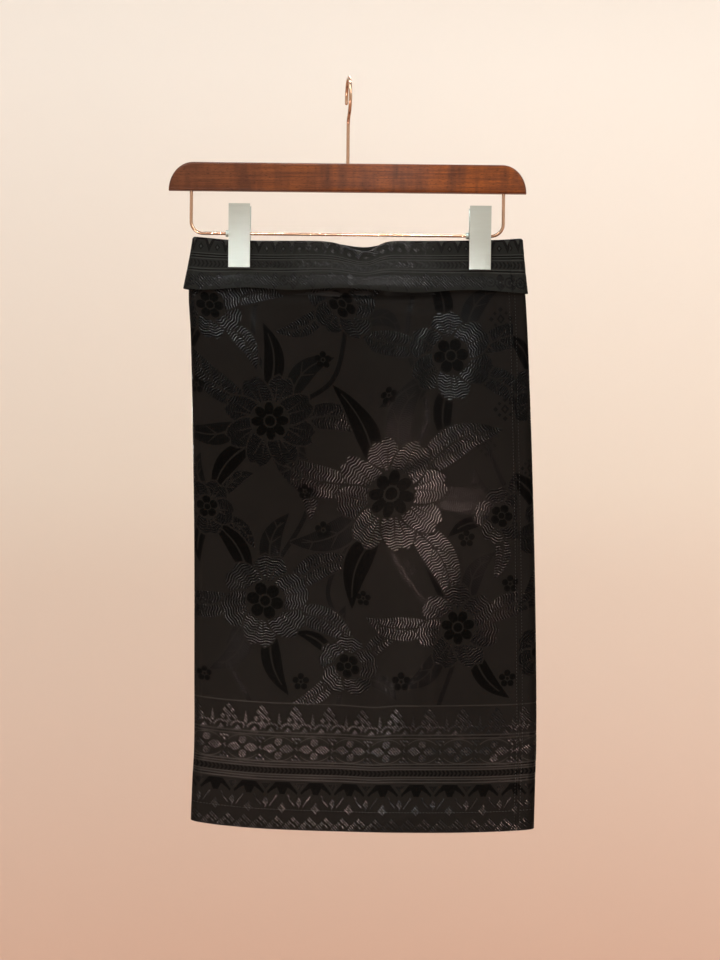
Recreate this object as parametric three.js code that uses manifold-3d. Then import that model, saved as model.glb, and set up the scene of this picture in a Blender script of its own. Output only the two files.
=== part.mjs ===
// A sampin, the short waist cloth worn over Malay dress, hung flat by its waistband from a clip hanger.
// The garment is a tube of two cloth panels, open at the waist and at the hem, with a doubled band folded
// over its top edge. The hanger is a wooden bar with a wire hook, a wire rail below it and two clips.
// Millimetres, +Z up, +X to the right of someone facing the front, and the front faces -Y.
// The origin is where the hook's crown rests on the rod that carries it. A drop is a distance below it.

import * as THREE from "three";
import { mergeVertices } from "three/addons/utils/BufferGeometryUtils.js";
import Module from "manifold-3d";

const wasm = await Module();
wasm.setup();

const GAP = 0.3; // between pieces that meet

// Cloth: thicknesses and the lines that bound it
const BODY_THICK = 1.0;
const HEM_THICK = 1.8; // the turned-up hem is double
const HEM_HEIGHT = 20;
const HEM_STEP = 2; // over which the thickness changes
const BAND_THICK = 1.2;
const BAND_LINING = 1.0; // the band's short inner leg
const BAND_TUCK = 10; // how far that leg reaches down inside
const CLAMPED = 2.6; // from the middle to the body cloth's outer face, in the jaws
const SEAM_AT = 0.974; // where the right seam runs, as a share of the front's flat width

// The body's outline and depth: its left and right edges, the radius of its side folds and how far its
// middle stands out beyond them
const SECTIONS = [
  { drop: 157, left: -154.6, right: 172.4, fold: 3.6, belly: 2.6 },
  { drop: 210, left: -159.9, right: 176.3, fold: 5.5, belly: 4.0 },
  { drop: 255, left: -158.0, right: 178.9, fold: 6.5, belly: 4.5 },
  { drop: 340, left: -156.2, right: 182.1, fold: 8.0, belly: 4.0 },
  { drop: 460, left: -154.5, right: 185.5, fold: 9.0, belly: 3.5 },
  { drop: 590, left: -154.4, right: 187.5, fold: 9.5, belly: 3.0 },
  { drop: 665, left: -154.6, right: 187.6, fold: 9.5, belly: 3.0 },
  { drop: 700, left: -156.4, right: 186.5, fold: 9.8, belly: 3.0 },
  { drop: 753, left: -158.5, right: 185.1, fold: 10.0, belly: 3.0 },
];

// The band's top fold, its free lower edge and the hem, across the width
const BAND_TOP = [
  { x: -157, drop: 157.2 },
  { x: -140, drop: 158.6 },
  { x: -121, drop: 160.4 },
  { x: -80, drop: 161.5 },
  { x: 66, drop: 162.0 },
  { x: 120, drop: 161.2 },
  { x: 150, drop: 160.6 },
  { x: 174, drop: 159.2 },
];
const BAND_LOW = [
  { x: -165, drop: 208.4 },
  { x: -148, drop: 210.8 },
  { x: -104, drop: 208.8 },
  { x: -60, drop: 210.3 },
  { x: -3, drop: 208.9 },
  { x: 70, drop: 211.8 },
  { x: 131, drop: 211.3 },
  { x: 177, drop: 214.6 },
];
const HEM = [
  { x: -158, drop: 739.5 },
  { x: -129, drop: 743.5 },
  { x: -78, drop: 747.6 },
  { x: 12, drop: 750.3 },
  { x: 90, drop: 751.3 },
  { x: 150, drop: 750.4 },
  { x: 185, drop: 748.3 },
];

// Between the clips the top edge sags, more at the front than at the back
const DIPS = {
  front: { x: 17, depth: 10.5, leftRun: 24, rightRun: 14 },
  back: { x: 16, depth: 5.0, leftRun: 26, rightRun: 20 },
};

// How far the band's free edge stands away from the body
const BAND_FLARE = [
  { x: -162, out: 3.9 },
  { x: -130, out: 2.0 },
  { x: 0, out: 2.3 },
  { x: 90, out: 2.2 },
  { x: 150, out: 0.9 },
  { x: 178, out: 0.4 },
];

// Soft ridges and troughs: middle, lean from upright in degrees, half length, half width and rise
const FRONT_FOLDS = [
  { x: 48, drop: 238, lean: 80, run: 44, spread: 11, rise: 2.2 },
  { x: 20, drop: 262, lean: 22, run: 34, spread: 13, rise: -1.8 },
  { x: 92, drop: 284, lean: 20, run: 52, spread: 14, rise: 3.2 },
  { x: 122, drop: 300, lean: 14, run: 60, spread: 16, rise: -2.2 },
  { x: -136, drop: 250, lean: -24, run: 38, spread: 11, rise: 2.2 },
  { x: -84, drop: 300, lean: 10, run: 78, spread: 24, rise: -2.2 },
  { x: 52, drop: 418, lean: 52, run: 58, spread: 30, rise: 4.5 },
  { x: 130, drop: 470, lean: -8, run: 90, spread: 22, rise: -2.2 },
  { x: -104, drop: 470, lean: -6, run: 90, spread: 28, rise: 2.2 },
  { x: -40, drop: 520, lean: 8, run: 110, spread: 26, rise: -2.6 },
  { x: 78, drop: 566, lean: 18, run: 92, spread: 22, rise: 3.4 },
  { x: 20, drop: 640, lean: 14, run: 80, spread: 20, rise: -2.0 },
  { x: -92, drop: 690, lean: 40, run: 80, spread: 32, rise: 3.0 },
  { x: 140, drop: 680, lean: 26, run: 70, spread: 22, rise: 2.4 },
  { x: 40, drop: 742, lean: 86, run: 52, spread: 16, rise: 1.8 },
  { x: -128, drop: 726, lean: 60, run: 26, spread: 14, rise: -1.6 },
];
const BACK_FOLDS = [
  { x: 40, drop: 246, lean: 74, run: 40, spread: 12, rise: 1.6 },
  { x: -70, drop: 290, lean: -16, run: 60, spread: 18, rise: 2.8 },
  { x: 84, drop: 310, lean: 12, run: 70, spread: 20, rise: -2.0 },
  { x: -18, drop: 400, lean: -30, run: 80, spread: 28, rise: -2.4 },
  { x: 110, drop: 450, lean: -12, run: 90, spread: 24, rise: 2.8 },
  { x: -106, drop: 520, lean: 8, run: 110, spread: 26, rise: 2.4 },
  { x: 36, drop: 580, lean: 16, run: 100, spread: 26, rise: 3.4 },
  { x: 130, drop: 640, lean: -10, run: 80, spread: 22, rise: -2.2 },
  { x: -52, drop: 690, lean: -22, run: 70, spread: 24, rise: -1.6 },
  { x: 20, drop: 740, lean: 84, run: 60, spread: 16, rise: 1.6 },
];

// Hanger: it hangs a little lower on the right
const TILT_DEG = 0.6;
const BAR = { length: 357, topDrop: 84.6, height: 28.3, thick: 13, endRun: 24, endSteps: 9, bevel: 2.6 };
const HOOK = { wire: 3.4, radius: 20, bend: 10, turnDeg: 6, tipDeg: 97, inBar: 24 };
const RAIL = { wire: 3.3, halfSpan: 156, corner: 12, drop: 155.3, inBar: 12 };
const WIRE_SIDES = 10;
const HOLE_SIDES = 16;
const RING_SIDES = 14;

// Clips, from the rail's axis: two sheet jaws with side flanges, a spring round the rail, a collar and pads
const CLIPS = [
  { side: "left", x: -107.3, clothX: -109.0 },
  { side: "right", x: 132.8, clothX: 131.1 },
];
const JAW = { width: 21.3, sheet: 1.0, up: 28.8, down: 34, tipY: 7.4, fingerY: 12.6, flangeY: 6 };
const EAR = { hole: 1.95, inset: 1.3 };
// The flange's free edge from the jaws up to the fingers, round the ear that holds the rail
const FLANGE_EDGE = [
  { y: -5.4, z: -6.5 },
  { y: -3.3, z: -3.3 },
  { y: 0, z: -3.3 },
  { y: 2.4, z: -2.3 },
  { y: 3.3, z: 0 },
  { y: 2.4, z: 2.6 },
  { y: -1.0, z: 6.0 },
  { y: -9.0, z: 22 },
];
const FLANGE_ENDS_BELOW = 3; // the top of the jaw's sheet
const PAD = { width: 22.4, top: 14, below: 0.8 };
const SPRING = { radius: 3.1, length: 16.1 };
const COLLAR = { radius: 3.4, length: 3 };
const FLAT_ROUND_CLIP = 13; // half the width that the jaws press flat
const PINCH_RUN = 60; // where the pinch has faded, across
const PINCH_FADE = { from: 190, to: 290 }; // and down

const clothLook = { color: 0x24211e, roughness: 0.45, metalness: 0 };
const bandLook = { color: 0x2b2a28, roughness: 0.42, metalness: 0 };
const woodLook = { color: 0x6a3f2a, roughness: 0.5, metalness: 0 };
const copperLook = { color: 0xd7a184, roughness: 0.25, metalness: 1 };
const steelLook = { color: 0xd6d0c2, roughness: 0.35, metalness: 1 };
const rubberLook = { color: 0x151414, roughness: 0.8, metalness: 0 };

const { clamp, degToRad, lerp, smoothstep } = THREE.MathUtils;

// A smooth function through a table's rows, from one named column to another.
function smoothThrough(rows, from, to) {
  const xs = rows.map((row) => row[from]);
  const ys = rows.map((row) => row[to]);
  const last = xs.length - 1;
  const slope = (i) => {
    const before = Math.max(i - 1, 0);
    const after = Math.min(i + 1, last);
    return (ys[after] - ys[before]) / (xs[after] - xs[before]);
  };
  return (x) => {
    if (x <= xs[0]) return ys[0];
    if (x >= xs[last]) return ys[last];
    const i = xs.findIndex((_, k) => x <= xs[k + 1]);
    const span = xs[i + 1] - xs[i];
    const t = (x - xs[i]) / span;
    const ends = (1 + 2 * t) * (1 - t) ** 2 * ys[i] + (3 - 2 * t) * t * t * ys[i + 1];
    const bends = t * (1 - t) ** 2 * slope(i) + t * t * (t - 1) * slope(i + 1);
    return ends + span * bends;
  };
}

const leftEdge = smoothThrough(SECTIONS, "drop", "left");
const rightEdge = smoothThrough(SECTIONS, "drop", "right");
const foldRadius = smoothThrough(SECTIONS, "drop", "fold");
const bellyDepth = smoothThrough(SECTIONS, "drop", "belly");
const bandTopLine = smoothThrough(BAND_TOP, "x", "drop");
const bandLowLine = smoothThrough(BAND_LOW, "x", "drop");
const hemLine = smoothThrough(HEM, "x", "drop");
const flareOut = smoothThrough(BAND_FLARE, "x", "out");

// How much of the jaws' grip reaches a place on the cloth, from 0 to 1.
function nearClip(x) {
  const far = Math.min(...CLIPS.map((clip) => Math.abs(x - clip.clothX)));
  return 1 - smoothstep(far, FLAT_ROUND_CLIP, PINCH_RUN);
}
const pinch = (x, drop) => nearClip(x) * (1 - smoothstep(drop, PINCH_FADE.from, PINCH_FADE.to));

// The sum of a table's ridges and troughs at a place on the cloth.
function foldRise(folds, x, drop) {
  return folds.reduce((sum, fold) => {
    const lean = degToRad(fold.lean);
    const right = x - fold.x;
    const up = fold.drop - drop;
    const along = (right * Math.sin(lean) + up * Math.cos(lean)) / fold.run;
    const across = (right * Math.cos(lean) - up * Math.sin(lean)) / fold.spread;
    return sum + fold.rise * Math.exp(-along * along - across * across);
  }, 0);
}

// The body cloth's outer face. A station goes once round the tube, in six parts: the front half of the left
// fold, the front, the two halves of the right fold, the back, and the back half of the left fold.
const PARTS = 6;
const isFront = (station) => station < PARTS / 2;

function clothPoint(station, drop) {
  const round = (station + PARTS) % PARTS;
  const part = Math.floor(round);
  const t = round - part;
  const left = leftEdge(drop);
  const right = rightEdge(drop);
  const fold = foldRadius(drop);
  const straight = right - left - 2 * fold;
  const turn = (t * Math.PI) / 2;
  const middle = (4 * t * (1 - t)) ** 2;
  const depth = fold + (part === 1 || part === 4 ? bellyDepth(drop) * middle : 0);
  const places = [
    [left + fold * (1 - Math.cos(turn)), -Math.sin(turn)],
    [left + fold + straight * t, -1],
    [right - fold * (1 - Math.sin(turn)), -Math.cos(turn)],
    [right - fold * (1 - Math.cos(turn)), Math.sin(turn)],
    [right - fold - straight * t, 1],
    [left + fold * (1 - Math.sin(turn)), Math.cos(turn)],
  ];
  const [x, facing] = places[part];
  const held = pinch(x, drop);
  const folds = foldRise(isFront(round) ? FRONT_FOLDS : BACK_FOLDS, x, drop);
  const out = lerp(depth, CLAMPED, held) + folds * Math.abs(facing) * (1 - held);
  return new THREE.Vector3(x, facing * out, -drop);
}

// That face moved out along its normal, or in where out is negative.
function clothOffset(station, drop, out) {
  const step = 1e-3;
  const across = clothPoint(station + step, drop).sub(clothPoint(station - step, drop));
  const down = clothPoint(station, drop + step).sub(clothPoint(station, drop - step));
  const normal = down.cross(across).normalize();
  return clothPoint(station, drop).addScaledVector(normal, out);
}

// The lines that bound the cloth, at a station.
function topDrop(station) {
  const { x } = clothPoint(station, SECTIONS[0].drop);
  const dip = isFront(station) ? DIPS.front : DIPS.back;
  const run = x < dip.x ? dip.leftRun : dip.rightRun;
  return bandTopLine(x) + dip.depth * Math.exp(-(((x - dip.x) / run) ** 2));
}
const lowDrop = (station) => bandLowLine(clothPoint(station, BAND_LOW[0].drop).x);
const hemDrop = (station) => hemLine(clothPoint(station, HEM[0].drop).x);

// A closed solid wall between an outside and an inside grid. Columns run left to right as seen from outside
// and rows run down. pointAt takes a column, a row and whether the point is on the inside.
function wall(columns, rows, pointAt) {
  const positions = [];
  for (const inside of [false, true]) {
    for (let c = 0; c < columns; c += 1) {
      for (let r = 0; r < rows; r += 1) {
        positions.push(...pointAt(c, r, inside).toArray());
      }
    }
  }
  const id = (c, r, inside) => (inside ? columns * rows : 0) + c * rows + r;
  const index = [];
  const quad = (a, b, c, d) => index.push(a, b, c, a, c, d);
  for (let c = 0; c + 1 < columns; c += 1) {
    for (let r = 0; r + 1 < rows; r += 1) {
      quad(id(c, r, false), id(c, r + 1, false), id(c + 1, r + 1, false), id(c + 1, r, false));
      quad(id(c, r, true), id(c + 1, r, true), id(c + 1, r + 1, true), id(c, r + 1, true));
    }
    quad(id(c, 0, false), id(c + 1, 0, false), id(c + 1, 0, true), id(c, 0, true));
    const r = rows - 1;
    quad(id(c, r, false), id(c, r, true), id(c + 1, r, true), id(c + 1, r, false));
  }
  for (let r = 0; r + 1 < rows; r += 1) {
    const c = columns - 1;
    quad(id(0, r, false), id(0, r, true), id(0, r + 1, true), id(0, r + 1, false));
    quad(id(c, r, false), id(c, r + 1, false), id(c, r + 1, true), id(c, r, true));
  }
  const geometry = new THREE.BufferGeometry();
  geometry.setAttribute("position", new THREE.Float32BufferAttribute(positions, 3));
  geometry.setIndex(index);
  geometry.computeVertexNormals();
  return geometry;
}

// Even steps from one number to another, both ends included.
const steps = (from, to, count) => Array.from({ length: count + 1 }, (_, i) => lerp(from, to, i / count));

// Two panels meet at the left fold and at the right seam, a gap apart.
const FOLD_GAP = GAP / 2 / (((SECTIONS[0].fold + SECTIONS.at(-1).fold) / 2) * (Math.PI / 2));
const SEAM_GAP = GAP / 2 / (SECTIONS[0].right - SECTIONS[0].left);
const COLUMNS = { halfFold: 4, front: 31, back: 27 };
const FRONT_STATIONS = [
  ...steps(FOLD_GAP, 1, COLUMNS.halfFold),
  ...steps(1, 1 + SEAM_AT - SEAM_GAP, COLUMNS.front).slice(1),
];
const BACK_STATIONS = [
  1 + SEAM_AT + SEAM_GAP,
  ...steps(2, 4, 2 * COLUMNS.halfFold),
  ...steps(4, 5, COLUMNS.back).slice(1),
  ...steps(5, PARTS - FOLD_GAP, COLUMNS.halfFold).slice(1),
];

// A body panel, from just under the band's fold to the hem, which is double.
const BODY_TOP_GAP = 2.2;
const BODY_ROWS = 21;
function bodyPanel(stations) {
  const height = HEM[3].drop - BAND_TOP[3].drop;
  const hemStart = 1 - HEM_HEIGHT / height;
  const hemEnds = 1 - (HEM_HEIGHT + HEM_STEP) / height;
  const shares = [...steps(0, hemEnds, BODY_ROWS), hemStart, (1 + hemStart) / 2, 1];
  return wall(stations.length, shares.length, (c, r, inside) => {
    const station = stations[c];
    const drop = lerp(topDrop(station) + BODY_TOP_GAP, hemDrop(station), shares[r]);
    const thick = shares[r] >= hemStart ? HEM_THICK : BODY_THICK;
    return clothOffset(station, drop, inside ? -thick : 0);
  });
}

// Half the waistband: up its short inner leg, over the body's top edge and down the outer leg to its free
// lower edge.
const BAND_FACES = {
  outer: GAP + BAND_THICK,
  outerBack: GAP,
  innerBack: -BODY_THICK - GAP,
  inner: -BODY_THICK - GAP - BAND_LINING,
};
const CAP_OUT = (BAND_FACES.outer - BAND_FACES.inner) / 2;
const CAP_IN = (BAND_FACES.outerBack - BAND_FACES.innerBack) / 2;
const CAP_STEPS = 4;
const BAND_ROWS = 6;
const FREE_BELOW_CLIP = 0.6; // the share of the band's height that a jaw keeps flat
const FLARE_CURVE = 1.2; // above 1, the band bends outwards most near its lower edge

function bandFlare(station, share) {
  const { x } = clothPoint(station, BAND_LOW[0].drop);
  const pressed = nearClip(x);
  const belowClip = clamp((share - FREE_BELOW_CLIP) / (1 - FREE_BELOW_CLIP), 0, 1);
  return flareOut(x) * lerp(share, belowClip, pressed) ** FLARE_CURVE;
}

function bandPanel(stations) {
  const capMiddle = (BAND_FACES.outer + BAND_FACES.inner) / 2;
  const slotMiddle = (BAND_FACES.outerBack + BAND_FACES.innerBack) / 2;
  const capAngles = steps(Math.PI, 0, CAP_STEPS);
  const rows = 1 + capAngles.length + BAND_ROWS;
  return wall(stations.length, rows, (c, r, inside) => {
    const station = stations[c];
    const capDrop = topDrop(station) + CAP_OUT;
    if (r === 0) {
      return clothOffset(station, capDrop + BAND_TUCK, inside ? BAND_FACES.innerBack : BAND_FACES.inner);
    }
    if (r <= capAngles.length) {
      const angle = capAngles[r - 1];
      const radius = inside ? CAP_IN : CAP_OUT;
      const middle = inside ? slotMiddle : capMiddle;
      return clothOffset(station, capDrop - radius * Math.sin(angle), middle + radius * Math.cos(angle));
    }
    const share = (r - capAngles.length) / BAND_ROWS;
    const drop = lerp(capDrop, lowDrop(station), share);
    const face = inside ? BAND_FACES.outerBack : BAND_FACES.outer;
    return clothOffset(station, drop, face + bandFlare(station, share));
  });
}

// Manifold solids, for holes and joins
function solidOf(geometry) {
  const bare = geometry.clone();
  bare.deleteAttribute("normal");
  bare.deleteAttribute("uv");
  const merged = mergeVertices(bare, 1e-4);
  return new wasm.Manifold(
    new wasm.Mesh({
      numProp: 3,
      vertProperties: merged.attributes.position.array,
      triVerts: new Uint32Array(merged.index.array),
    }),
  );
}

function geometryOf(solid) {
  const mesh = solid.getMesh();
  const geometry = new THREE.BufferGeometry();
  geometry.setAttribute("position", new THREE.BufferAttribute(mesh.vertProperties, 3));
  geometry.setIndex(new THREE.BufferAttribute(mesh.triVerts, 1));
  geometry.computeVertexNormals();
  return geometry;
}

// A round wire through a flat path's points, with flat ends. side is square to the path's plane.
function wire(path, radius, side) {
  const rings = path.map((point, i) => {
    const before = path[Math.max(i - 1, 0)];
    const after = path[Math.min(i + 1, path.length - 1)];
    const ahead = after.clone().sub(before).normalize();
    const outward = new THREE.Vector3().crossVectors(ahead, side);
    return steps(0, 2 * Math.PI, WIRE_SIDES)
      .slice(1)
      .map((angle) =>
        point
          .clone()
          .addScaledVector(side, radius * Math.cos(angle))
          .addScaledVector(outward, radius * Math.sin(angle)),
      );
  });
  const points = [...rings.flat(), path[0], path.at(-1)];
  const startMiddle = points.length - 2;
  const endMiddle = points.length - 1;
  const id = (ring, k) => ring * WIRE_SIDES + (k % WIRE_SIDES);
  const index = [];
  const last = rings.length - 1;
  for (let k = 0; k < WIRE_SIDES; k += 1) {
    for (let ring = 0; ring < last; ring += 1) {
      index.push(id(ring, k), id(ring, k + 1), id(ring + 1, k + 1));
      index.push(id(ring, k), id(ring + 1, k + 1), id(ring + 1, k));
    }
    index.push(startMiddle, id(0, k + 1), id(0, k));
    index.push(endMiddle, id(last, k), id(last, k + 1));
  }
  const geometry = new THREE.BufferGeometry().setFromPoints(points);
  geometry.setIndex(index);
  geometry.computeVertexNormals();
  return geometry;
}

// A round bar or hole along +Z or +X.
function cylinder(radius, length, alongX = false) {
  const geometry = new THREE.CylinderGeometry(radius, radius, length, HOLE_SIDES);
  return alongX ? geometry.rotateZ(Math.PI / 2) : geometry.rotateX(Math.PI / 2);
}

const BAR_BOTTOM = BAR.topDrop + BAR.height;

// The wooden bar: an outline with rounded upper ends, blind holes for the hook and for the rail's ends.
function barGeometry() {
  const roundEnd = (side) =>
    steps(0, Math.PI / 2, BAR.endSteps).map(
      (angle) =>
        new THREE.Vector2(
          side * (BAR.length / 2 - BAR.endRun * (1 - Math.cos(angle))),
          BAR.height * Math.sin(angle) - BAR_BOTTOM,
        ),
    );
  const shape = new THREE.Shape([...roundEnd(1), ...roundEnd(-1).toReversed()]);
  const block = new THREE.ExtrudeGeometry(shape, {
    depth: BAR.thick - 2 * BAR.bevel,
    bevelSize: BAR.bevel,
    bevelThickness: BAR.bevel,
    bevelOffset: -BAR.bevel,
    bevelSegments: 3,
  });
  block.rotateX(Math.PI / 2).translate(0, BAR.thick / 2 - BAR.bevel, 0);
  const hole = (x, openDrop, length, radius, upward) => {
    const middle = openDrop + (upward ? -1 : 1) * (length / 2);
    return solidOf(cylinder(radius + GAP, length + 2 * GAP).translate(x, 0, -middle));
  };
  const hookHole = hole(0, BAR.topDrop, HOOK.inBar, HOOK.wire / 2, false);
  const railHoles = [-1, 1].map((side) =>
    hole(side * RAIL.halfSpan, BAR_BOTTOM, RAIL.inBar, RAIL.wire / 2, true),
  );
  const holes = [hookHole, ...railHoles];
  return geometryOf(holes.reduce((solid, cut) => solid.subtract(cut), solidOf(block)));
}

// The hook: a shank out of the bar, a bend to the front, and a round crown that ends behind the rod.
function hookGeometry() {
  const crown = HOOK.wire / 2;
  const middle = crown - HOOK.radius;
  const bendRise = Math.sqrt(HOOK.radius ** 2 + 2 * HOOK.radius * HOOK.bend);
  const bendZ = middle - bendRise;
  const bendAngle = Math.atan2(bendRise, HOOK.bend);
  const path = [new THREE.Vector3(0, 0, -(BAR.topDrop + HOOK.inBar))];
  steps(0, bendAngle, 4).forEach((angle) => {
    path.push(new THREE.Vector3(0, HOOK.bend * (Math.cos(angle) - 1), bendZ + HOOK.bend * Math.sin(angle)));
  });
  const from = Math.PI / 2 + bendAngle;
  steps(from, -degToRad(HOOK.tipDeg), 24)
    .slice(1)
    .forEach((angle) => {
      path.push(
        new THREE.Vector3(0, -HOOK.radius * Math.sin(angle), middle + HOOK.radius * Math.cos(angle)),
      );
    });
  return wire(path, HOOK.wire / 2, new THREE.Vector3(1, 0, 0));
}

// The rail: one wire, down from the bar, across and up again.
function railGeometry() {
  const top = -(BAR_BOTTOM - RAIL.inBar);
  const corner = (side, angle) =>
    new THREE.Vector3(
      side * (RAIL.halfSpan - RAIL.corner * (1 - Math.cos(angle))),
      0,
      RAIL.corner * (1 - Math.sin(angle)) - RAIL.drop,
    );
  const bends = steps(0, Math.PI / 2, 5);
  const path = [
    new THREE.Vector3(-RAIL.halfSpan, 0, top),
    ...bends.map((angle) => corner(-1, angle)),
    ...bends.toReversed().map((angle) => corner(1, angle)),
    new THREE.Vector3(RAIL.halfSpan, 0, top),
  ];
  return wire(path, RAIL.wire / 2, new THREE.Vector3(0, -1, 0));
}

// A plate cut to an outline in depth and height, of some width, with its middle at x.
function slab(outline, width, x) {
  const shape = new THREE.Shape(outline.map(([y, z]) => new THREE.Vector2(y, z)));
  const geometry = new THREE.ExtrudeGeometry(shape, { depth: width, bevelEnabled: false });
  const axes = [new THREE.Vector3(0, 1, 0), new THREE.Vector3(0, 0, 1), new THREE.Vector3(1, 0, 0)];
  geometry.applyMatrix4(new THREE.Matrix4().makeBasis(...axes)).translate(x - width / 2, 0, 0);
  return solidOf(geometry);
}

// One jaw, facing the front: a sheet that leans out towards the fingers, and two flanges whose ears hold
// the rail. The back jaw is its mirror, with its flanges set further in.
const sheetY = (z) => -lerp(JAW.tipY, JAW.fingerY, (z + JAW.down) / (JAW.up + JAW.down));
function jawGeometry(inset, mirrored) {
  const outer = (z) => [sheetY(z), z];
  const inner = (z) => [sheetY(z) + JAW.sheet, z];
  const sheet = slab([outer(-JAW.down), inner(-JAW.down), inner(JAW.up), outer(JAW.up)], JAW.width, 0);
  const flangeOutline = [
    [sheetY(-JAW.down) + JAW.sheet / 2, -JAW.down],
    [-JAW.flangeY, -JAW.down],
    [-JAW.flangeY, -PAD.top],
    ...FLANGE_EDGE.map(({ y, z }) => [y, z]),
    [sheetY(JAW.up) + JAW.sheet / 2, JAW.up - FLANGE_ENDS_BELOW],
  ];
  const flangeX = JAW.width / 2 - JAW.sheet / 2 - inset;
  const flanges = [-1, 1].map((side) => slab(flangeOutline, JAW.sheet, side * flangeX));
  const hole = solidOf(cylinder(EAR.hole, 2 * JAW.width, true));
  const joined = geometryOf(sheet.add(flanges[0]).add(flanges[1]).subtract(hole));
  return mirrored ? joined.rotateZ(Math.PI) : joined;
}

// A pad between a jaw's sheet and the cloth.
function padGeometry(inset, mirrored) {
  const face = -(CLAMPED + BAND_FACES.outer + GAP);
  const low = -JAW.down - PAD.below;
  const back = (z) => [sheetY(z) + JAW.sheet + GAP, z];
  const narrow = JAW.width - 2 * (JAW.sheet + inset + GAP);
  const body = slab([[face, low], [face, -PAD.top], back(-PAD.top), back(low)], narrow, 0);
  const rimBack = GAP - JAW.flangeY;
  const rim = slab([[face, low], [face, -PAD.top], [rimBack, -PAD.top], [rimBack, low]], PAD.width, 0);
  const joined = geometryOf(body.add(rim));
  return mirrored ? joined.rotateZ(Math.PI) : joined;
}

// A ring round the rail.
function ringGeometry(radius, length) {
  const half = length / 2;
  const profile = [
    new THREE.Vector2(EAR.hole, -half),
    new THREE.Vector2(radius, -half),
    new THREE.Vector2(radius, half),
    new THREE.Vector2(EAR.hole, half),
    new THREE.Vector2(EAR.hole, -half),
  ];
  return new THREE.LatheGeometry(profile, RING_SIDES).rotateZ(-Math.PI / 2);
}

function piece(name, geometry, look) {
  const mesh = new THREE.Mesh(geometry, new THREE.MeshStandardMaterial(look));
  mesh.name = name;
  return mesh;
}

function clip({ side, x }) {
  const group = new THREE.Group();
  group.position.set(x, 0, -RAIL.drop);
  const spring = piece(`clip_${side}_spring`, ringGeometry(SPRING.radius, SPRING.length), steelLook);
  const collar = piece(`clip_${side}_collar`, ringGeometry(COLLAR.radius, COLLAR.length), steelLook);
  collar.position.x = -(JAW.width / 2 + GAP + COLLAR.length / 2);
  group.add(
    piece(`clip_${side}_front`, jawGeometry(0, false), steelLook),
    piece(`clip_${side}_back`, jawGeometry(EAR.inset, true), steelLook),
    piece(`clip_${side}_pad_front`, padGeometry(0, false), rubberLook),
    piece(`clip_${side}_pad_back`, padGeometry(EAR.inset, true), rubberLook),
    spring,
    collar,
  );
  return group;
}

const sampin = new THREE.Group();
sampin.add(
  piece("body_front", bodyPanel(FRONT_STATIONS), clothLook),
  piece("body_back", bodyPanel(BACK_STATIONS), clothLook),
  piece("waistband_front", bandPanel(FRONT_STATIONS), bandLook),
  piece("waistband_back", bandPanel(BACK_STATIONS), bandLook),
);

const hanger = new THREE.Group();
hanger.rotation.y = degToRad(TILT_DEG);
const hook = piece("hanger_hook", hookGeometry(), copperLook);
hook.rotation.z = degToRad(HOOK.turnDeg);
hanger.add(
  piece("hanger_bar", barGeometry(), woodLook),
  hook,
  piece("clip_rail", railGeometry(), copperLook),
  ...CLIPS.map(clip),
);
sampin.add(hanger);

export default sampin;
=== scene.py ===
import math

import bmesh
import bpy
import numpy as np
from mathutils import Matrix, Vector
from mathutils.geometry import delaunay_2d_cdt


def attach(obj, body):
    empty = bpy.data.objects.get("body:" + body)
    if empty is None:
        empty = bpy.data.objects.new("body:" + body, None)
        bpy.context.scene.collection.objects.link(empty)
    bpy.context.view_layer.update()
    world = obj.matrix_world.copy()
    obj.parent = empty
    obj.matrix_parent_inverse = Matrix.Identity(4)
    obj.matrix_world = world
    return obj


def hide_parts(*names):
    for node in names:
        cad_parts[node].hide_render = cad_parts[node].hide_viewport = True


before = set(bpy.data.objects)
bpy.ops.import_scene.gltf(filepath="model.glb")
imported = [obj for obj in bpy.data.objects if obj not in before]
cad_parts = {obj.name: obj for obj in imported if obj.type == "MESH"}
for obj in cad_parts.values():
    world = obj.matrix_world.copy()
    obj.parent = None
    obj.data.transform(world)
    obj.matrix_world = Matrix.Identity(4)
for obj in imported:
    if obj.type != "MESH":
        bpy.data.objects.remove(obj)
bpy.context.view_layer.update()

MM = 0.001

# Cloth thicknesses, and where the panels begin and end
GAP = 0.3
BODY_THICK = 1.0
HEM_THICK = 1.8
HEM_HEIGHT = 20.0
HEM_STEP = 2.0
BAND_THICK = 1.2
BAND_LINING = 1.0
BAND_TUCK = 10.0
CLAMPED = 2.6  # from the middle plane to the cloth's face in the jaws
SEAM_AT = 0.974  # as a share of the front's flat part
FOLD_SLIT = 0.02  # between front and back at the left fold, where the real cloth runs on
BODY_TOP_GAP = 2.2  # from the band's top line down to the body's top edge
PARTS = 6  # of the way round: the front and the back, each with two quarter folds

# The body's outline and depth: drop, left edge, right edge, radius of the side folds, belly
SECTIONS = np.array([
    (157, -154.6, 172.4, 3.6, 2.6),
    (210, -159.9, 176.3, 5.5, 4.0),
    (255, -158.0, 178.9, 6.5, 4.5),
    (340, -156.2, 182.1, 8.0, 4.0),
    (460, -154.5, 185.5, 9.0, 3.5),
    (590, -154.4, 187.5, 9.5, 3.0),
    (665, -154.6, 187.6, 9.5, 3.0),
    (700, -156.4, 186.5, 9.8, 3.0),
    (753, -158.5, 185.1, 10.0, 3.0),
])

# Lines across the width: x and drop
BAND_TOP = [
    (-157, 157.2), (-140, 158.6), (-121, 160.4), (-80, 161.5),
    (66, 162.0), (120, 161.2), (150, 160.6), (174, 159.2),
]
BAND_LOW = [
    (-165, 208.4), (-148, 210.8), (-104, 208.8), (-60, 210.3),
    (-3, 208.9), (70, 211.8), (131, 211.3), (177, 214.6),
]
HEM = [
    (-158, 739.5), (-129, 743.5), (-78, 747.6), (12, 750.3),
    (90, 751.3), (150, 750.4), (185, 748.3),
]
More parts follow.
